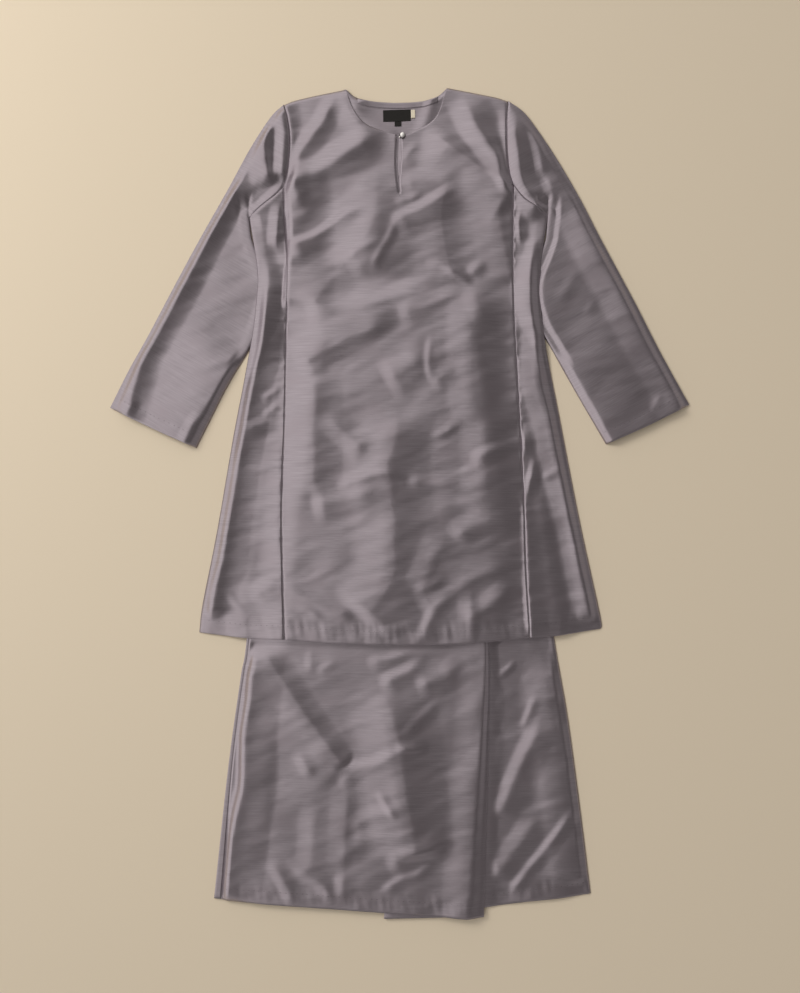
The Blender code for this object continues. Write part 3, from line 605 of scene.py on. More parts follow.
def sleeve_tuck(x, y):
    """How far the side of the tunic is lifted by the sleeve's edge that lies under it."""
    height = 2 * WALL + 2 * LAYER_GAP
    below = soft_step(-y, -UNDERARM_Y, -450.0) * soft_step(y, 150.0, 215.0)
    left = x_on(SLEEVE_INNER_LEFT, y) + 3.0
    right = x_on(SLEEVE_INNER_RIGHT, y) - 3.0
    on_left = 1 - soft_step(x, left, left + SLEEVE_TUCK_FALL)
    on_right = soft_step(x, right - SLEEVE_TUCK_FALL, right)
    return height * below * np.where(x < 0, on_left, on_right)


def tunic_floor(x, y):
    """The underside of the tunic: over the skirt, over the tucked sleeves, or on the surface."""
    left = x_on(SKIRT_LEFT, y) - 4.0
    right = x_on(SKIRT_RIGHT, y) + 4.0
    cover = soft_step(x, left - TUNIC_FALL, left) * (1 - soft_step(x, right, right + TUNIC_FALL))
    cover = cover * (1 - soft_step(y, WAIST_Y + 6.0, WAIST_Y + WAIST_FALL))
    return (skirt_top(x, y) + LAYER_GAP) * cover + sleeve_tuck(x, y)


def rounded(away, radius=7.0):
    """How the upper layer comes down to the lower one at an edge that they share."""
    share = np.clip(away / radius, 0.0, 1.0)
    return np.sqrt(1.0 - (1.0 - share) ** 2)


# line, depth of the dip, puckers' height, puckers' pitch, how far the puckers reach
TUNIC_SEAMS = [
    (SEAM_LEFT, 0.35, 0.9, 8.0, 14.0),
    (SEAM_RIGHT, 0.35, 0.9, 7.0, 16.0),
    (ARMHOLE_LEFT, 1.0, 0.3, 12.0, 8.0),
    (ARMHOLE_RIGHT, 0.7, 0.3, 12.0, 8.0),
    (UNDERARM_LEFT, 0.9, 0.4, 12.0, 8.0),
    (UNDERARM_RIGHT, 0.9, 0.4, 12.0, 8.0),
]
SLEEVE_SEAMS = (ARMHOLE_LEFT, ARMHOLE_RIGHT, UNDERARM_LEFT, UNDERARM_RIGHT)
# How far from a sleeve's seam the creases fade in
SEAM_FADE = 18.0
TUNIC_HEM = HEM_LEFT[:-1] + HEM_MIDDLE[:-1] + HEM_RIGHT

# How far each edge of the slit lies to the right of its line
# y, distance
SLIT_LEFT = [(519, 0.0), (545, -1.4), (590, -1.8), (621, -1.6)]
SLIT_RIGHT = [(519, 0.0), (524, 1.8), (548, 2.4), (556, 5.4), (575, 7.4), (600, 7.4), (621, 5.0)]

# The left edge of the slit's facing
# y, x
FACING_EDGE = [(519, -1.5), (545, -4.0), (570, -5.5), (590, -5.0), (621, -4.0)]

# Lines of stitches
# x, y
OVER_STITCHES = [(-296, -644), (-207, -651), (-111, -658), (-31, -664), (34, -668), (108, -672)]
UNDER_STITCHES = [(150, -659), (208, -651), (272, -643), (314, -637)]
SLIT_LEFT_STITCHES = [(-8.2, 606), (-9.6, 590), (-9.8, 570), (-8.4, 545), (-5.0, 516)]
SLIT_RIGHT_STITCHES = [(5.0, 600), (5.2, 575), (3.6, 550), (1.6, 530), (-1.0, 516)]
LABEL_STITCHES = [((-27.4, 661.8), (-27.4, 644.2)), ((17.0, 663.4), (17.0, 646.0))]


def away_from(x, y, tables):
    """The distance from the nearest of some lines."""
    return np.min([np.abs(beside(x, y, smooth(table, 40))[0]) for table in tables], axis=0)


def body_front(x, y):
    """The middle of the tunic's upper layer, without the sleeves."""
    from_side = np.minimum(x - x_on(SIDE_LEFT, y), x_on(SIDE_RIGHT, y) - x)
    body = np.where(y > UNDERARM_Y, 1.0, soft_step(from_side, 2.0, 20.0))
    hem = smooth(TUNIC_HEM, 200)
    hem_y = np.interp(x, hem[:, 0], hem[:, 1])
    inside = soft_step(away_from(x, y, SLEEVE_SEAMS), 1.0, SEAM_FADE)
    creases = crease_height(x, y, BODY_FOLDS) * inside + crease_height(x, y, SHOULDER_FOLDS)
    pulls = seam_pull(x, y, TUNIC_SEAMS) + hem_pull(x, y, hem_y, 24.0, 0.3, 60)
    small = np.maximum(slack(x, y) + pulls + creases, LOWEST_DIP)
    floor = tunic_floor(x, y) + 0.5 * WALL
    lift = PITCH + (TUNIC_PUFF + small) * body
    at_shoulder = rounded(away_from(x, y, (SHOULDER_LEFT, SHOULDER_RIGHT)))
    edge = np.where(y > UNDERARM_Y, at_shoulder, rounded(from_side))
    return floor + CLOTH + (lift - CLOTH) * edge


def sleeve_front(x, y, folds, outer, inner, across, down):
    """The middle of a sleeve's upper layer."""
    from_inner = np.abs(x_on(inner, y) - x)
    covered = soft_step(y, 225.0, 262.0)
    at_body = soft_step(y, 490.0, 525.0)
    seam = away_from(x, y, SLEEVE_SEAMS)
    at_seam = (1.0 - soft_step(seam, 2.0, SEAM_FADE)) * soft_step(y, 478.0, 500.0)
    sewn = np.maximum(at_body, at_seam)
    bare = (1.0 - covered) * soft_step(from_inner, 0.0, 12.0)
    clear = np.maximum(covered * soft_step(from_inner, 22.0, 130.0) + bare, sewn)
    creased = np.maximum(covered * soft_step(from_inner, 12.0, 22.0) + bare, sewn)
    from_outer = soft_step(np.abs(x - x_on(outer, y)), 0.0, 18.0)
    inside = soft_step(seam, 1.0, SEAM_FADE)
    creases = crease_height(x, y, folds) * inside + crease_height(x, y, SHOULDER_FOLDS)
    puff = SLEEVE_PUFF * np.sin(math.pi * across) * soft_step(down, 0.0, 0.3) * inside
    pulls = seam_pull(x, y, TUNIC_SEAMS)
    small = np.maximum(slack(x, y) + pulls + creases, LOWEST_DIP)
    edge = np.maximum(rounded(from_inner), sewn)
    lift = PITCH + ((TUNIC_PUFF + puff) * clear + small * creased) * from_outer
    return 0.5 * WALL + CLOTH + (lift - CLOTH) * edge


def skirt_over(x, y):
    """The middle of the skirt's upper layer, left of the pleat's folded edge."""
    low = 0.5 * WALL + PITCH
    crease = x_on(PLEAT_CREASE, y)
    ridge = PLEAT_RIDGE * soft_step(-y, 226.0, 330.0) * soft_step(x, crease - 50.0, crease)
    rise = (SKIRT_CREST - low) * skirt_rise(x, y) + ridge
    drop = (SKIRT_CREST - PLEAT_LOW + ridge) * soft_step(x, crease, x_on(PLEAT_FOLD, y))
    shown = soft_step(-y, 236.0, 262.0)
    inward = soft_step(x - x_on(SKIRT_SEAM, y), 1.0, 10.0)
    from_fold = soft_step(x_on(PLEAT_FOLD, y) - x, 0.0, 24.0)
    hem = smooth(OVER_HEM, 80)
    pulls = hem_pull(x, y, np.interp(x, hem[:, 0], hem[:, 1]), 22.0, 0.25, 70)
    creases = crease_height(x, y, SKIRT_FOLDS) + slack(x, y) + pulls
    dip = crease_height(x, y, HEM_DIPS)
    return low + rise - drop + (creases * shown + dip) * inward * from_fold


def skirt_under(x, y):
    """The middle of the wall of the skirt's lower layer, on both sides of the folded edge."""
    low = 0.5 * WALL + PITCH
    past_fold = x - x_on(PLEAT_FOLD, y)
    inside = x_on(SKIRT_RIGHT, y) - x
    rise = (PLEAT_LOW - low) * soft_step(past_fold, 20.0, 140.0) * soft_step(inside, 0.0, UNDER_RISE)
    hollow = 1.2 * soft_step(past_fold, -16.0, 1.0) - 2.0 * soft_step(past_fold, 1.0, 28.0)
    shown = soft_step(-y, 236.0, 262.0) * soft_step(past_fold, 8.0, 24.0)
    shown = shown * soft_step(inside, 0.0, 14.0)
    hem = smooth(UNDER_HEM, 80)
    pulls = hem_pull(x, y, np.interp(x, hem[:, 0], hem[:, 1]), 20.0, 0.4, 80)
    creases = np.maximum(crease_height(x, y, SKIRT_FOLDS) + slack(x, y) + pulls, -0.6)
    dip = crease_height(x, y, HEM_DIPS) * soft_step(past_fold, 2.0, 12.0) * soft_step(inside, 0.0, 14.0)
    height = low + rise + hollow * soft_step(inside, 0.0, 20.0) + creases * shown + dip
    height = np.maximum(height, 0.5 * WALL + 2.2 * CLOTH)
    back = 0.5 * WALL + CLOTH
    return back + (height - back) * rounded(inside)


def lifted(grid, height):
    return np.dstack([grid, height])


def placed(table, places):
    """Points on the smooth line through a table's points, at shares of its length."""
    line = smooth(table, 600)
    along = shares(line)
    return np.column_stack([np.interp(places, along, line[:, k]) for k in range(2)])


def evenly(table, steps):
    return placed(table, np.linspace(0.0, 1.0, steps + 1))


def straight(start, end, places):
    share = places[:, None]
    return (1 - share) * start + share * end


def between(left, right, steps):
    """Straight rows from one line to another."""
    share = np.linspace(0.0, 1.0, steps + 1)[None, :, None]
    return (1 - share) * left[:, None] + share * right[:, None]


def turned(points, low, high, out):
    """The cloth's way round a fold, from one layer to the next, on a half circle."""
    middle, radius = 0.5 * (low + high), 0.5 * abs(high - low)
    start = 1.0 if low > high else -1.0
    steps = []
    for k in range(1, TURN_STEPS):
        angle = math.pi * k / TURN_STEPS
        place = points + out * radius * math.sin(angle)
        height = np.full(len(points), middle + start * radius * math.cos(angle))
        steps.append(np.column_stack([place, height]))
    return np.stack(steps, axis=1)


def new_piece(name, mesh, material, node=None):
    mesh.shade_smooth()
    mesh.materials.append(material)
    piece = bpy.data.objects.new(name, mesh)
    bpy.context.scene.collection.objects.link(piece)
    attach(piece, "root")
    if node:
        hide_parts(node)
    return piece


def set_places(mesh, grain):
    """Stores where each point lies in the cloth, in metres, with its ribs along the first axis."""
    spots = np.empty(len(mesh.vertices) * 3)
    mesh.vertices.foreach_get("co", spots)
    x, y = spots[0::3], spots[1::3]
    turn = math.radians(grain)
    u = x * math.cos(turn) + y * math.sin(turn)
    v = y * math.cos(turn) - x * math.sin(turn)
    corners = np.empty(len(mesh.loops), int)
    mesh.loops.foreach_get("vertex_index", corners)
    layer = mesh.uv_layers.new(name="cloth")
    layer.data.foreach_set("uv", np.column_stack([u[corners], v[corners]]).ravel())


def grid_shape(points):
    """A sheet of faces on rows of points."""
    rows, columns = points.shape[:2]
    shape = bmesh.new()
    bmesh.ops.create_grid(shape, x_segments=columns - 1, y_segments=rows - 1, size=1.0)
    shape.verts.ensure_lookup_table()
    shape.faces.ensure_lookup_table()
    for vert, place in zip(shape.verts, (points * MM).reshape(-1, 3)):
        vert.co = place
    return shape


def thicken(piece, thickness):
    shell = piece.modifiers.new("thickness", "SOLIDIFY")
    shell.thickness = thickness * MM
    shell.offset = 0.0


def add_cloth(name, points, material, node=None, grain=0.0, slit=None):
    """A thin shell of cloth on a grid of points, which are the middle of its thickness."""
    shape = grid_shape(points)
    if slit:
        rows, columns = points.shape[:2]
        column, open_rows = slit
        meeting = [shape.verts[row * columns + column + k] for row in range(rows) for k in (0, 1)]
        gap = [face for face in shape.faces if all(vert in set(meeting) for vert in face.verts)]
        bmesh.ops.delete(shape, geom=gap, context="FACES_ONLY")
        bmesh.ops.remove_doubles(shape, verts=meeting[2 * open_rows :], dist=0.00001)
    mesh = bpy.data.meshes.new(name)
    shape.to_mesh(mesh)
    shape.free()
    set_places(mesh, grain)
    piece = new_piece(name, mesh, material, node)
    thicken(piece, CLOTH)
    return piece


def back_height(x, y):
    return tunic_floor(x, y) + 0.5 * CLOTH + crease_height(x, y, NECK_FOLDS)


def centre_halves(neck_left, neck_right, centre_top, columns, armhole_steps, rows_below):
    """The two halves of a centre panel, which meet on its centre line."""
    shoulder, neck = columns
    slit_steps = armhole_steps * 3 // 4
    below = armhole_steps + rows_below - slit_steps
    centre = joined(
        evenly([centre_top] + KEYHOLE[2:], slit_steps),
        evenly([KEYHOLE[-1], (0, 430), (0, 100), (0, -236)], below),
    )
    top = joined(evenly(SHOULDER_LEFT, shoulder), evenly(neck_left, neck))
    side = joined(evenly(ARMHOLE_LEFT, armhole_steps), evenly(SEAM_LEFT, rows_below))
    left = patch(top, evenly(HEM_MIDDLE[:3], shoulder + neck), side, centre)
    top = joined(evenly(neck_right, neck), evenly(SHOULDER_RIGHT, shoulder))
    side = joined(evenly(ARMHOLE_RIGHT, armhole_steps), evenly(SEAM_RIGHT, rows_below))
    right = patch(top, evenly(HEM_MIDDLE[2:], shoulder + neck), centre, side)
    return left, right, slit_steps


def opened(grid, line, opening):
    """A half of the front with its edge moved off the slit's line."""
    y = line[:, 1]
    width = np.interp(y, [row[0] for row in opening], [row[1] for row in opening])
    away = np.abs(grid[..., 0] - line[:, None, 0])
    moved = grid.copy()
    moved[..., 0] += width[:, None] * np.clip(1.0 - away / 30.0, 0.0, 1.0)
    return moved


def add_tunic_front(material, facing):
    neck_left, neck_right = NECK_FRONT[:6], NECK_FRONT[5:]
    left, right, slit_steps = centre_halves(neck_left, neck_right, NECK_FRONT[5], *FRONT_STEPS)
    line = left[:, -1].copy()
    left = opened(left, line, SLIT_LEFT)
    right = opened(right, line, SLIT_RIGHT)
    grid = np.concatenate([left, right], axis=1)
    points = hemmed(lifted(grid, body_front(grid[..., 0], grid[..., 1])))
    slit = (left.shape[1] - 1, slit_steps)
    piece = add_cloth("tunic_front_cloth", points, material, "tunic_front", 0.0, slit)


def add_tunic_back(material):
    neck_left, neck_right = NECK_BACK[:5], NECK_BACK[4:]
    left, right, _ = centre_halves(neck_left, neck_right, NECK_BACK[4], *BACK_STEPS)
    grid = np.concatenate([left, right[:, 1:]], axis=1)
    points = lifted(grid, back_height(grid[..., 0], grid[..., 1]))
    piece = add_cloth("tunic_back_cloth", points, material, "tunic_back")


def side_patch(side, seam, underarm, hem, across, rows):
    """A side panel, from the underarm to the hem, with its outer edge as its left side."""
    top = evenly(underarm, across)[::-1]
    return patch(top, evenly(hem, across), evenly(side, rows), evenly(seam, rows))


def add_side_panels(material):
    tables = {
        "left": (SIDE_LEFT, SEAM_LEFT, UNDERARM_LEFT, HEM_LEFT),
        "right": (SIDE_RIGHT, SEAM_RIGHT, UNDERARM_RIGHT, HEM_RIGHT[::-1]),
    }
    for side, lines in tables.items():
        grid = side_patch(*lines, *SIDE_FRONT_STEPS)
        points = hemmed(lifted(grid, body_front(grid[..., 0], grid[..., 1])))
        front = add_cloth("side_front_%s_cloth" % side, points, material, "side_front_" + side)
        grid = side_patch(*lines, *SIDE_BACK_STEPS)
        points = lifted(grid, back_height(grid[..., 0], grid[..., 1]))
        back = add_cloth("side_back_%s_cloth" % side, points, material, "side_back_" + side)


def sleeve_grid(outer, armhole, underarm, inner, cuff, steps):
    """Rows square to the arm, the first of which bends to follow the armhole seam."""
    crown_rows, rows, columns = steps
    line = smooth(outer, 600)
    crown = int(CROWN_SHARE * len(line))
    left = joined(
        resample(line[: crown + 1], crown_rows + 1), resample(line[crown:], rows + 1)
    )
    right = joined(evenly(underarm, crown_rows), evenly(inner, rows))
    grid = between(left, right, columns)
    ends = ((armhole, 0, crown_rows), (cuff, len(grid) - 1, rows // 3))
    for table, row, reach in ends:
        bend = evenly(table, columns) - grid[row]
        for k in range(len(grid)):
            grid[k] += bend * max(0.0, 1.0 - abs(k - row) / reach)
    return grid


def add_sleeve(side, lines, folds, grain, material):
    """One sleeve: a piece folded along its outer edge, with its two edges sewn at the underarm."""
    outer, armhole, underarm, inner, cuff = lines
    grid = sleeve_grid(*lines, SLEEVE_STEPS)
    x, y = grid[..., 0], grid[..., 1]
    across = np.linspace(0.0, 1.0, grid.shape[1])[None, :]
    down = np.linspace(0.0, 1.0, grid.shape[0])[:, None]
    front = lifted(grid, sleeve_front(x, y, folds, outer, inner, across, down))
    coarse = grid[:, ::3]
    back = lifted(coarse, np.full(coarse.shape[:2], 0.5 * CLOTH))
    away = grid[:, 0] - grid[:, 1]
    away /= np.linalg.norm(away, axis=1)[:, None]
    turn = turned(grid[:, 0], 0.5 * WALL + PITCH, 0.5 * CLOTH, away)
    points = np.concatenate([front[:, ::-1], turn, back], axis=1)
    piece = add_cloth("sleeve_%s_cloth" % side, points, material, "sleeve_" + side, grain)


def two_parts(change, coarse, fine):
    """Places from 0 to 1 that lie closer together past the change."""
    start = np.linspace(0.0, change, coarse, endpoint=False)
    return np.concatenate([start, np.linspace(change, 1.0, fine)])


def add_skirt_front(material):
    """The skirt's front, folded to and fro as a knife pleat."""
    places = two_parts(0.52, 40, 128)
    seam, crease = placed(SKIRT_SEAM, places), placed(PLEAT_CREASE, places)
    fold, inner = placed(PLEAT_FOLD, places), placed(PLEAT_INNER, places)
    right = placed(SKIRT_RIGHT, places)
    across = np.linspace(0.0, 1.0, 117)
    over = patch(straight(seam[0], crease[0], across), placed(OVER_HEM, across), seam, crease)
    strip = between(crease, fold, 7)
    over = np.concatenate([over, strip[:, 1:]], axis=1)
    across = two_parts(0.46, 12, 52)
    under = patch(straight(inner[0], right[0], across), placed(UNDER_HEM, across), inner, right)
    tucked = between(fold, inner, 12)
    middle = 0.5 * WALL + 2 * PITCH
    upper = lifted(over, skirt_over(over[..., 0], over[..., 1]))
    tuck = lifted(tucked, np.full(tucked.shape[:2], middle))
    lower = lifted(under, skirt_under(under[..., 0], under[..., 1]))
    to_right = np.tile([1.0, 0.0], (len(places), 1))
    at_fold = turned(fold, PLEAT_LOW, middle, to_right)
    at_inner = turned(inner, middle, 0.5 * WALL + PITCH, -to_right)
    points = np.concatenate([upper, at_fold, tuck, at_inner, lower], axis=1)
    piece = add_cloth("skirt_front_cloth", points, material, "skirt_front")


def add_skirt_back(material):
    """The skirt's back, which rolls round the left edge to the seam on the front."""
    places = np.linspace(0.0, 1.0, 150)
    edge, seam = placed(SKIRT_LEFT, places), placed(SKIRT_SEAM, places)
    right = placed(SKIRT_RIGHT, places)
    across = np.linspace(0.0, 1.0, 41)
    floor = patch(straight(edge[0], right[0], across), placed(BACK_HEM, across), edge, right)
    strip = between(seam, edge, 4)
    low, high = 0.5 * CLOTH, 0.5 * WALL + PITCH
    to_left = np.tile([-1.0, 0.0], (len(places), 1))
    layers = [
        lifted(strip, np.full(strip.shape[:2], high)),
        turned(edge, high, low, to_left),
        lifted(floor, np.full(floor.shape[:2], low)),
    ]
    piece = add_cloth("skirt_back_cloth", np.concatenate(layers, axis=1), material, "skirt_back")


def add_waistband(material):
    """The skirt's waistband: a flat loop, open above and below, with its seam at the left."""
    across = np.linspace(SKIRT_LEFT[0][0], SKIRT_RIGHT[0][0], 60)
    x, y = np.meshgrid(across, np.linspace(WAIST_Y - BAND_HEIGHT, WAIST_Y, 12))
    grid = np.dstack([x, y])
    low = 0.5 * CLOTH
    height = skirt_top(x, y) - low
    back = lifted(grid, np.full(x.shape, low))
    front = lifted(grid, height)[:, ::-1]
    to_right = np.tile([1.0, 0.0], (len(grid), 1))
    turn = turned(grid[:, -1], low, height[0, -1], to_right)
    points = np.concatenate([back, turn, front], axis=1)
    piece = add_cloth("skirt_waistband_cloth", points, material, "skirt_waistband")


def over_back(x, y):
    return back_height(x, y) + CLOTH + 0.05


def hemmed(points):
    """The cloth with its lower edge turned up underneath."""
    edge, before = points[-1], points[-2]
    out = edge[:, :2] - before[:, :2]
    out /= np.linalg.norm(out, axis=1)[:, None]
    under = points[-HEM_ROWS - 1 : -1][::-1].copy()
    back = over_back(under[..., 0], under[..., 1])
    under[..., 2] = np.maximum(under[..., 2] - HEM_TURN, back)
    middle = edge.copy()
    middle[:, :2] += 0.4 * out
    middle[:, 2] = 0.5 * (edge[:, 2] + under[0, :, 2])
    return np.concatenate([points, middle[None], under])


def add_shape(name, shape, material, node=None):
    mesh = bpy.data.meshes.new(name)
    shape.to_mesh(mesh)
    shape.free()
    return new_piece(name, mesh, material, node)


def add_neck_facing(material):
    """The band inside the back neck, which follows the back neckline."""
    line = smooth(NECK_BACK, 300)
    line = line[(line[:, 0] > -72.0) & (line[:, 0] < 64.0)]
    upper = resample(line, 81) - (0.0, 0.2)
    grid = np.stack([upper - (0.0, FACING_WIDTH * k / 5) for k in range(6)])
    x, y = grid[..., 0], grid[..., 1]
    height = back_height(x, y) + CLOTH + 0.1 + 0.12 * ripple(x / 9.0, 91)
    piece = add_cloth("neck_facing_cloth", lifted(grid, height), material, "neck_facing_back")


def add_slit_facing(material):
    """The strip of facing that shows in the slit, under its right edge."""
    y = np.linspace(617.0, 549.0, 24)
    line = np.interp(y, [row[0] for row in FACING_EDGE], [row[1] for row in FACING_EDGE])
    share = np.linspace(0.0, 1.0, 6)
    left = line + 1.6 + 2.2 * soft_step(-y, -556.0, -549.0)
    x = left[:, None] + (4.5 - left[:, None]) * share[None, :]
    slant = 6.0 * (1.0 - share[None, :]) * soft_step(-y, -560.0, -549.0)[:, None]
    y = np.repeat(y[:, None], 6, axis=1) - slant
    height = body_front(x, y) - 1.5 + 0.5 * share[None, :]
    return add_cloth("slit_facing_cloth", lifted(np.dstack([x, y]), height), material)


def corner_grid(corners, columns, rows):
    """Rows of points between four corners, clockwise from the upper left one."""
    u = np.linspace(0.0, 1.0, columns + 1)[None, :, None]
    v = np.linspace(0.0, 1.0, rows + 1)[:, None, None]
    a, b, c, d = (np.array(corner, float) for corner in corners)
    return (1 - v) * ((1 - u) * a + u * b) + v * ((1 - u) * d + u * c)


def add_label(name, corners, sag, material, node, steps):
    """A woven label that lies on the back of the neck, a little hollow between its ends."""
    grid = corner_grid(corners, *steps)
    u = np.linspace(0.0, 1.0, steps[0] + 1)[None, :]
    v = np.linspace(0.0, 1.0, steps[1] + 1)[:, None]
    height = CLOTH + 0.55 * LABEL_WALL + sag * (1.0 - np.cos(2 * math.pi * u)) * (0.6 + 0.4 * v)
    height = height + 0.25 * np.maximum(np.abs(2 * v - 1) - 0.86, 0.0) / 0.14
    piece = add_shape(name, grid_shape(lifted(grid, height)), material, node)
    thicken(piece, LABEL_WALL)
    edge = piece.modifiers.new("soft edge", "BEVEL")
    edge.width = 0.2 * MM
    edge.segments = 2


def add_care_label(material):
    """A folded ribbon, with its fold on the right."""
    upper = corner_grid(LABEL_CARE, 8, 10)
    out = np.tile([1.0, 0.0], (len(upper), 1))
    low, high = CLOTH + 0.35, CLOTH + 1.35
    layers = [
        lifted(upper, np.full(upper.shape[:2], high) + 0.2 * np.linspace(0, 1, 9)[None, :] ** 2),
        turned(upper[:, -1], high + 0.2, low, out),
        lifted(upper[:, ::-1], np.full(upper.shape[:2], low)),
    ]
    shape = grid_shape(np.concatenate(layers, axis=1))
    piece = add_shape("care_label_ribbon", shape, material, "label_care")
    thicken(piece, RIBBON)


def button_level():
    x, y = PEARL_PLACE
    return float(body_front(np.array([x]), np.array([y - 3.0]))[0]) + 0.5 * CLOTH


def add_button(pearl, level):
    """The pearl on its short neck, with a small bead beside it."""
    shape = bmesh.new()
    for (x, y), size, height in (
        (PEARL_PLACE, PEARL_DIAMETER, level + 0.5 * PEARL_DIAMETER + 0.3),
        (BEAD_PLACE, BEAD_DIAMETER, level + 0.6 * BEAD_DIAMETER),
    ):
        radius = 0.5 * size * MM
        made = bmesh.ops.create_uvsphere(shape, u_segments=40, v_segments=24, radius=radius)
        bmesh.ops.translate(shape, verts=made["verts"], vec=Vector((x, y, height)) * MM)
    made = bmesh.ops.create_cone(
        shape, cap_ends=True, segments=24, radius1=1.5 * MM, radius2=1.0 * MM, depth=1.6 * MM
    )
    foot = Vector((PEARL_PLACE[0], PEARL_PLACE[1], level + 0.1)) * MM
    bmesh.ops.translate(shape, verts=made["verts"], vec=foot)
    add_shape("neck_button_pearl", shape, pearl, "neck_button")


def add_ring(shape, middle, across, up, radius, sides):
    """Points round the middle of a thread."""
    ring = []
    for side in range(sides):
        angle = 2 * math.pi * side / sides
        spot = middle + (across * math.cos(angle) + up * math.sin(angle)) * radius
        ring.append(shape.verts.new(spot * MM))
    return ring


def join_rings(shape, rings):
    """The faces between rings of points, with both ends closed."""
    sides = len(rings[0])
    for first, second in zip(rings, rings[1:]):
        for side in range(sides):
            after = (side + 1) % sides
            shape.faces.new((first[side], first[after], second[after], second[side]))
    shape.faces.new(rings[0][::-1])
    shape.faces.new(rings[-1])


def tube(shape, route, radius, sides=10):
    """A round cord along a route of points."""
    rings = []
    for k, place in enumerate(route):
        before, after = route[max(k - 1, 0)], route[min(k + 1, len(route) - 1)]
        along = Vector(after) - Vector(before)
        along.normalize()
        across = along.cross(Vector((0.0, 0.0, 1.0))).normalized()
        up = across.cross(along)
        rings.append(add_ring(shape, Vector(place), across, up, radius, sides))
    join_rings(shape, rings)


def add_button_loop(cord, level):
    """The cord that holds the button, round its foot and back to the slit. Its near-black colour is
    partly the cord's own and partly painted shade for the pearl's shadow round its foot.
    """
    x, y = PEARL_PLACE
    turns = [math.radians(angle) for angle in range(-200, 61, 6)]
    route = [
        (x + LOOP_RADIUS * math.cos(a), y + LOOP_RADIUS * math.sin(a), level + 0.7) for a in turns
    ]
    tail = [(x - 5.6, y + 3.4, level + 0.2), (x - 5.2, y + 2.5, level + 0.5)]
    shape = bmesh.new()
    tube(shape, tail + route, 0.5 * LOOP_DIAMETER)
    add_shape("button_loop_cord", shape, cord, "button_loop")


def stitch(shape, start, end, radius, sides=6):
    """One stitch: a short thread whose ends go down into the cloth."""
    start, end = Vector(start), Vector(end)
    along = (end - start).normalized()
    across = along.cross(Vector((0.0, 0.0, 1.0))).normalized()
    up = across.cross(along)
    rings = []
    for share, drop, size in STITCH_FORM:
        middle = start.lerp(end, share) - up * drop * radius
        rings.append(add_ring(shape, middle, across, up, radius * size, sides))
    join_rings(shape, rings)


def add_stitches(name, rows, thread):
    """Rows of stitches: each has a line, how the cloth lies there, and its stitches' sizes."""
    shape = bmesh.new()
    for seed, (line, height, length, pitch, radius) in enumerate(rows):
        line = np.array(line, float)
        wander = np.random.default_rng(300 + seed)
        along = shares(line) * run(line)
        starts = np.arange(0.5 * pitch, along[-1] - length, pitch)
        starts += pitch * wander.uniform(-0.12, 0.12, len(starts))
        finishes = starts + length * wander.uniform(0.8, 1.15, len(starts))
        ends = []
        for places in (starts, finishes):
            x = np.interp(places, along, line[:, 0])
            y = np.interp(places, along, line[:, 1])
            ends.append(np.column_stack([x, y, height(x, y) + 0.5 * CLOTH + 0.3 * radius]))
        for start, end in zip(*ends):
            stitch(shape, start, end, radius)
    add_shape(name, shape, thread)


def shifted(table, up):
    return smooth(table, 200) + np.array([0.0, up])


def sleeve_top(side):
    """The height of a sleeve's upper layer, for what lies on it."""
    outer, _, _, inner, _ = SLEEVES[side]
    folds = LEFT_SLEEVE_FOLDS if side == "left" else RIGHT_SLEEVE_FOLDS
    return lambda x, y: sleeve_front(x, y, folds, outer, inner, 0.5, 0.96)


def cuff_line(side):
    cuff = smooth(SLEEVES[side][4], 60)
    outer, inner = SLEEVES[side][0], SLEEVES[side][3]
    arm = np.array(outer[-1], float) - np.array(outer[-2], float)
    arm /= np.linalg.norm(arm)
    line = cuff - arm * 20.0
    inside = np.abs(line[:, 0] - x_on(inner, line[:, 1])) > 4.0
    inside &= np.abs(line[:, 0] - x_on(outer, line[:, 1])) > 4.0
    return line[inside]


def add_sewing(thread):
    """The stitches that show: along the hems, the cuffs, the slit and the back facing."""
    hem = shifted(TUNIC_HEM, 22.0)
    hem = hem[(hem[:, 0] > -330.0) & (hem[:, 0] < 330.0)]
    over = smooth(OVER_STITCHES, 200)
    under = smooth(UNDER_STITCHES, 200)
    slit_left = smooth(SLIT_LEFT_STITCHES, 60)
    slit_right = smooth(SLIT_RIGHT_STITCHES, 60)
    facing = shifted([row for row in NECK_BACK if -70 < row[0] < 64], -FACING_WIDTH + 1.2)
    rows = [
        (hem, body_front, *COARSE_STITCH),
        (over, skirt_over, *COARSE_STITCH),
        (under, skirt_under, *COARSE_STITCH),
        (slit_left, body_front, *FINE_STITCH),
        (slit_right, body_front, *FINE_STITCH),
        (facing, lambda x, y: back_height(x, y) + CLOTH + 0.1, *FINE_STITCH),
        (cuff_line("left"), sleeve_top("left"), *COARSE_STITCH),
        (cuff_line("right"), sleeve_top("right"), *COARSE_STITCH),
    ]
    add_stitches("hand_stitches", rows, thread)


def label_top(x, y):
    return np.full(x.shape, CLOTH + LABEL_WALL)


def add_label_stitches(thread):
    """The stitches that hold the main label by its two ends."""
    rows = [(line, label_top, *LABEL_STITCH) for line in LABEL_STITCHES]
    add_stitches("label_stitches", rows, thread)


def noise(nodes, links, place, scale, detail=2.0):
    """A soft random pattern, with its bumps for each metre along and across the cloth's ribs."""
    stretch = nodes.new("ShaderNodeMapping")
    stretch.inputs["Scale"].default_value = (scale[0], scale[1], 1.0)
    links.new(place, stretch.inputs["Vector"])
    pattern = nodes.new("ShaderNodeTexNoise")
    pattern.noise_dimensions = "2D"
    pattern.inputs["Scale"].default_value = 1.0
    pattern.inputs["Detail"].default_value = detail
    links.new(stretch.outputs["Vector"], pattern.inputs["Vector"])
    return pattern.outputs["Fac"]


def colours(sockets):
    return [item for item in sockets if item.type == "RGBA"]


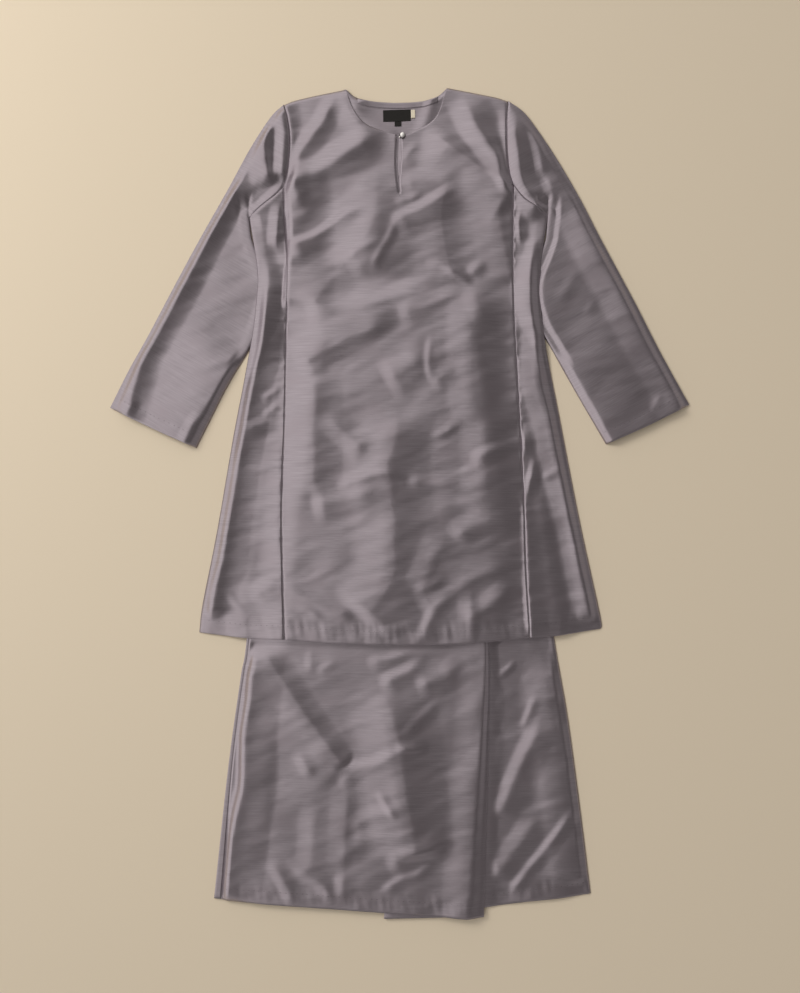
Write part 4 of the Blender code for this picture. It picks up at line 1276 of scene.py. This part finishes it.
def mix(nodes, links, share, first, second, start=0.3, end=0.7):
    """A blend of two colours by a pattern."""
    span = nodes.new("ShaderNodeMapRange")
    span.inputs["From Min"].default_value = start
    span.inputs["From Max"].default_value = end
    links.new(share, span.inputs["Value"])
    blend = nodes.new("ShaderNodeMix")
    blend.data_type = "RGBA"
    links.new(span.outputs["Result"], blend.inputs["Factor"])
    for target, value in zip(colours(blend.inputs), (first, second)):
        if isinstance(value, tuple):
            target.default_value = (*value, 1.0)
        else:
            links.new(value, target)
    return colours(blend.outputs)[0]


def bump(nodes, links, height, distance, under=None):
    relief = nodes.new("ShaderNodeBump")
    relief.inputs["Strength"].default_value = 1.0
    relief.inputs["Distance"].default_value = distance * MM
    links.new(height, relief.inputs["Height"])
    if under:
        links.new(under, relief.inputs["Normal"])
    return relief.outputs["Normal"]


def new_material(name):
    material = bpy.data.materials.new(name)
    material.use_nodes = True
    tree = material.node_tree
    return material, tree.nodes, tree.links, tree.nodes["Principled BSDF"]


def cloth_material():
    """Plain taffeta: fine ribs across the piece, uneven threads, and a soft sheen."""
    material, nodes, links, shader = new_material("cloth")
    place = nodes.new("ShaderNodeUVMap")
    place.uv_map = "cloth"
    place = place.outputs["UV"]
    threads = noise(nodes, links, place, (22.0, 560.0), 3.0)
    patches = noise(nodes, links, place, (16.0, 22.0), 3.0)
    ribs = noise(nodes, links, place, (70.0, 1000.0), 1.0)
    colour = mix(nodes, links, threads, CLOTH_DARK, CLOTH_LIGHT)
    colour = mix(nodes, links, patches, colour, CLOTH_PATCH, 0.45, 0.75)
    links.new(colour, shader.inputs["Base Color"])
    relief = bump(nodes, links, threads, 0.08)
    relief = bump(nodes, links, ribs, 0.15, relief)
    links.new(relief, shader.inputs["Normal"])
    shader.inputs["Roughness"].default_value = 0.34
    shader.inputs["Metallic"].default_value = 0.82
    shader.inputs["Specular IOR Level"].default_value = 0.4
    return material


def ribbon_material(name, dark, light, roughness, threads):
    """A finely woven ribbon, with its threads seen as small ribs both ways."""
    material, nodes, links, shader = new_material(name)
    place = nodes.new("ShaderNodeTexCoord").outputs["Object"]
    along = noise(nodes, links, place, (threads, 6.0 * threads), 2.0)
    across = noise(nodes, links, place, (5.0 * threads, threads), 2.0)
    links.new(mix(nodes, links, along, dark, light), shader.inputs["Base Color"])
    relief = bump(nodes, links, along, 0.08)
    links.new(bump(nodes, links, across, 0.08, relief), shader.inputs["Normal"])
    shader.inputs["Roughness"].default_value = roughness
    shader.inputs["Specular IOR Level"].default_value = 0.25
    return material


def pearl_material():
    material, nodes, links, shader = new_material("pearl")
    place = nodes.new("ShaderNodeTexCoord").outputs["Object"]
    clouds = noise(nodes, links, place, (260.0, 260.0), 3.0)
    colour = mix(nodes, links, clouds, (0.86, 0.83, 0.79), (0.93, 0.91, 0.89))
    links.new(colour, shader.inputs["Base Color"])
    shader.inputs["Roughness"].default_value = 0.22
    shader.inputs["Coat Weight"].default_value = 0.8
    shader.inputs["Coat Roughness"].default_value = 0.08
    shader.inputs["Specular IOR Level"].default_value = 0.7
    return material


def thread_material(name, dark, light):
    material, nodes, links, shader = new_material(name)
    place = nodes.new("ShaderNodeTexCoord").outputs["Object"]
    twist = noise(nodes, links, place, (1400.0, 1400.0), 2.0)
    links.new(mix(nodes, links, twist, dark, light), shader.inputs["Base Color"])
    links.new(bump(nodes, links, twist, 0.06), shader.inputs["Normal"])
    shader.inputs["Roughness"].default_value = 0.6
    return material


def add_floor():
    mesh = bpy.data.meshes.new("floor")
    shape = bmesh.new()
    bmesh.ops.create_grid(shape, x_segments=1, y_segments=1, size=6.0)
    shape.to_mesh(mesh)
    shape.free()
    material, _, _, shader = new_material("floor")
    shader.inputs["Base Color"].default_value = FLOOR_COLOUR
    shader.inputs["Roughness"].default_value = 0.9
    mesh.materials.append(material)
    floor = bpy.data.objects.new("floor", mesh)
    bpy.context.scene.collection.objects.link(floor)


def direction(azimuth, elevation):
    turn, rise = math.radians(azimuth), math.radians(elevation)
    return math.cos(rise) * math.cos(turn), math.cos(rise) * math.sin(turn), math.sin(rise)


def add_light(name, azimuth, elevation, distance, size, power, colour):
    """A soft square light that faces the set from a direction."""
    lamp = bpy.data.lights.new(name, "AREA")
    lamp.size = size
    lamp.energy = power
    lamp.color = colour
    light = bpy.data.objects.new(name, lamp)
    toward = Vector(direction(azimuth, elevation))
    light.location = toward * distance
    light.rotation_euler = toward.to_track_quat("Z", "Y").to_euler()
    light.visible_glossy = False
    bpy.context.scene.collection.objects.link(light)


def add_world():
    """A room that is bright on the window's side and dim on the other, with lit low walls."""
    world = bpy.data.worlds.new("room")
    world.use_nodes = True
    nodes, links = world.node_tree.nodes, world.node_tree.links
    look = nodes.new("ShaderNodeTexCoord")
    facing = nodes.new("ShaderNodeVectorMath")
    facing.operation = "DOT_PRODUCT"
    facing.inputs[1].default_value = direction(*WINDOW)
    links.new(look.outputs["Generated"], facing.inputs[0])
    shade = nodes.new("ShaderNodeMapRange")
    shade.interpolation_type = "SMOOTHSTEP"
    shade.inputs["From Min"].default_value = -SIDES_REACH
    shade.inputs["From Max"].default_value = SIDES_REACH
    links.new(facing.outputs["Value"], shade.inputs["Value"])
    split = nodes.new("ShaderNodeSeparateXYZ")
    links.new(look.outputs["Generated"], split.inputs["Vector"])
    low = nodes.new("ShaderNodeMapRange")
    low.interpolation_type = "SMOOTHSTEP"
    low.inputs["From Min"].default_value = WALLS_START
    low.inputs["From Max"].default_value = WALLS_FULL
    low.inputs["To Max"].default_value = WALLS_SHARE
    links.new(split.outputs["Z"], low.inputs["Value"])
    most = nodes.new("ShaderNodeMath")
    most.operation = "MAXIMUM"
    links.new(shade.outputs["Result"], most.inputs[0])
    links.new(low.outputs["Result"], most.inputs[1])
    sides = nodes.new("ShaderNodeMix")
    sides.data_type = "RGBA"
    links.new(most.outputs["Value"], sides.inputs["Factor"])
    dim, bright = colours(sides.inputs)
    dim.default_value = DIM_SIDE
    bright.default_value = BRIGHT_SIDE
    links.new(colours(sides.outputs)[0], nodes["Background"].inputs["Color"])
    bpy.context.scene.world = world


def add_camera():
    view = bpy.data.cameras.new("camera")
    view.sensor_width = 36.0
    view.lens = 36.0 * VIEW_HEIGHT / VIEW_LENGTH
    camera = bpy.data.objects.new("camera", view)
    camera.location = (0.0, VIEW_CENTRE_Y, VIEW_HEIGHT + VIEW_LEVEL)
    bpy.context.scene.collection.objects.link(camera)
    bpy.context.scene.camera = camera
    bpy.context.scene.view_settings.view_transform = "Standard"


def build():
    cloth = cloth_material()
    add_skirt_back(cloth)
    add_skirt_front(cloth)
    add_waistband(cloth)
    add_tunic_back(cloth)
    add_tunic_front(cloth, add_slit_facing(cloth))
    add_side_panels(cloth)
    add_sleeve("left", SLEEVES["left"], LEFT_SLEEVE_FOLDS, -30.0, cloth)
    add_sleeve("right", SLEEVES["right"], RIGHT_SLEEVE_FOLDS, 30.0, cloth)
    add_neck_facing(cloth)
    dark, light = (0.010, 0.009, 0.008), (0.022, 0.020, 0.018)
    black = ribbon_material("label_black", dark, light, 0.55, 700.0)
    dark, light = (0.66, 0.58, 0.44), (0.78, 0.71, 0.57)
    cream = ribbon_material("label_cream", dark, light, 0.5, 500.0)
    add_label("main_label_ribbon", LABEL_MAIN, 0.12, black, "label_main", (40, 18))
    add_label("size_label_ribbon", LABEL_SIZE, 0.05, black, "label_size", (12, 9))
    add_care_label(cream)
    level = button_level()
    add_button(pearl_material(), level)
    # The loop cord's near-black colours are partly its own and partly painted shade: the pearl's shadow
    # on the cloth round its foot.
    add_button_loop(thread_material("loop_cord", (0.03, 0.026, 0.026), (0.07, 0.06, 0.06)), level)
    thread = thread_material("thread", (0.10, 0.085, 0.092), (0.20, 0.175, 0.19))
    add_sewing(thread)
    add_label_stitches(thread_material("label_thread", (0.02, 0.018, 0.017), (0.05, 0.045, 0.04)))
    add_floor()
    add_light("key", 148.0, 30.0, 3.3, 1.1, 58.0, (1.0, 0.97, 0.93))
    add_world()
    add_camera()


build()
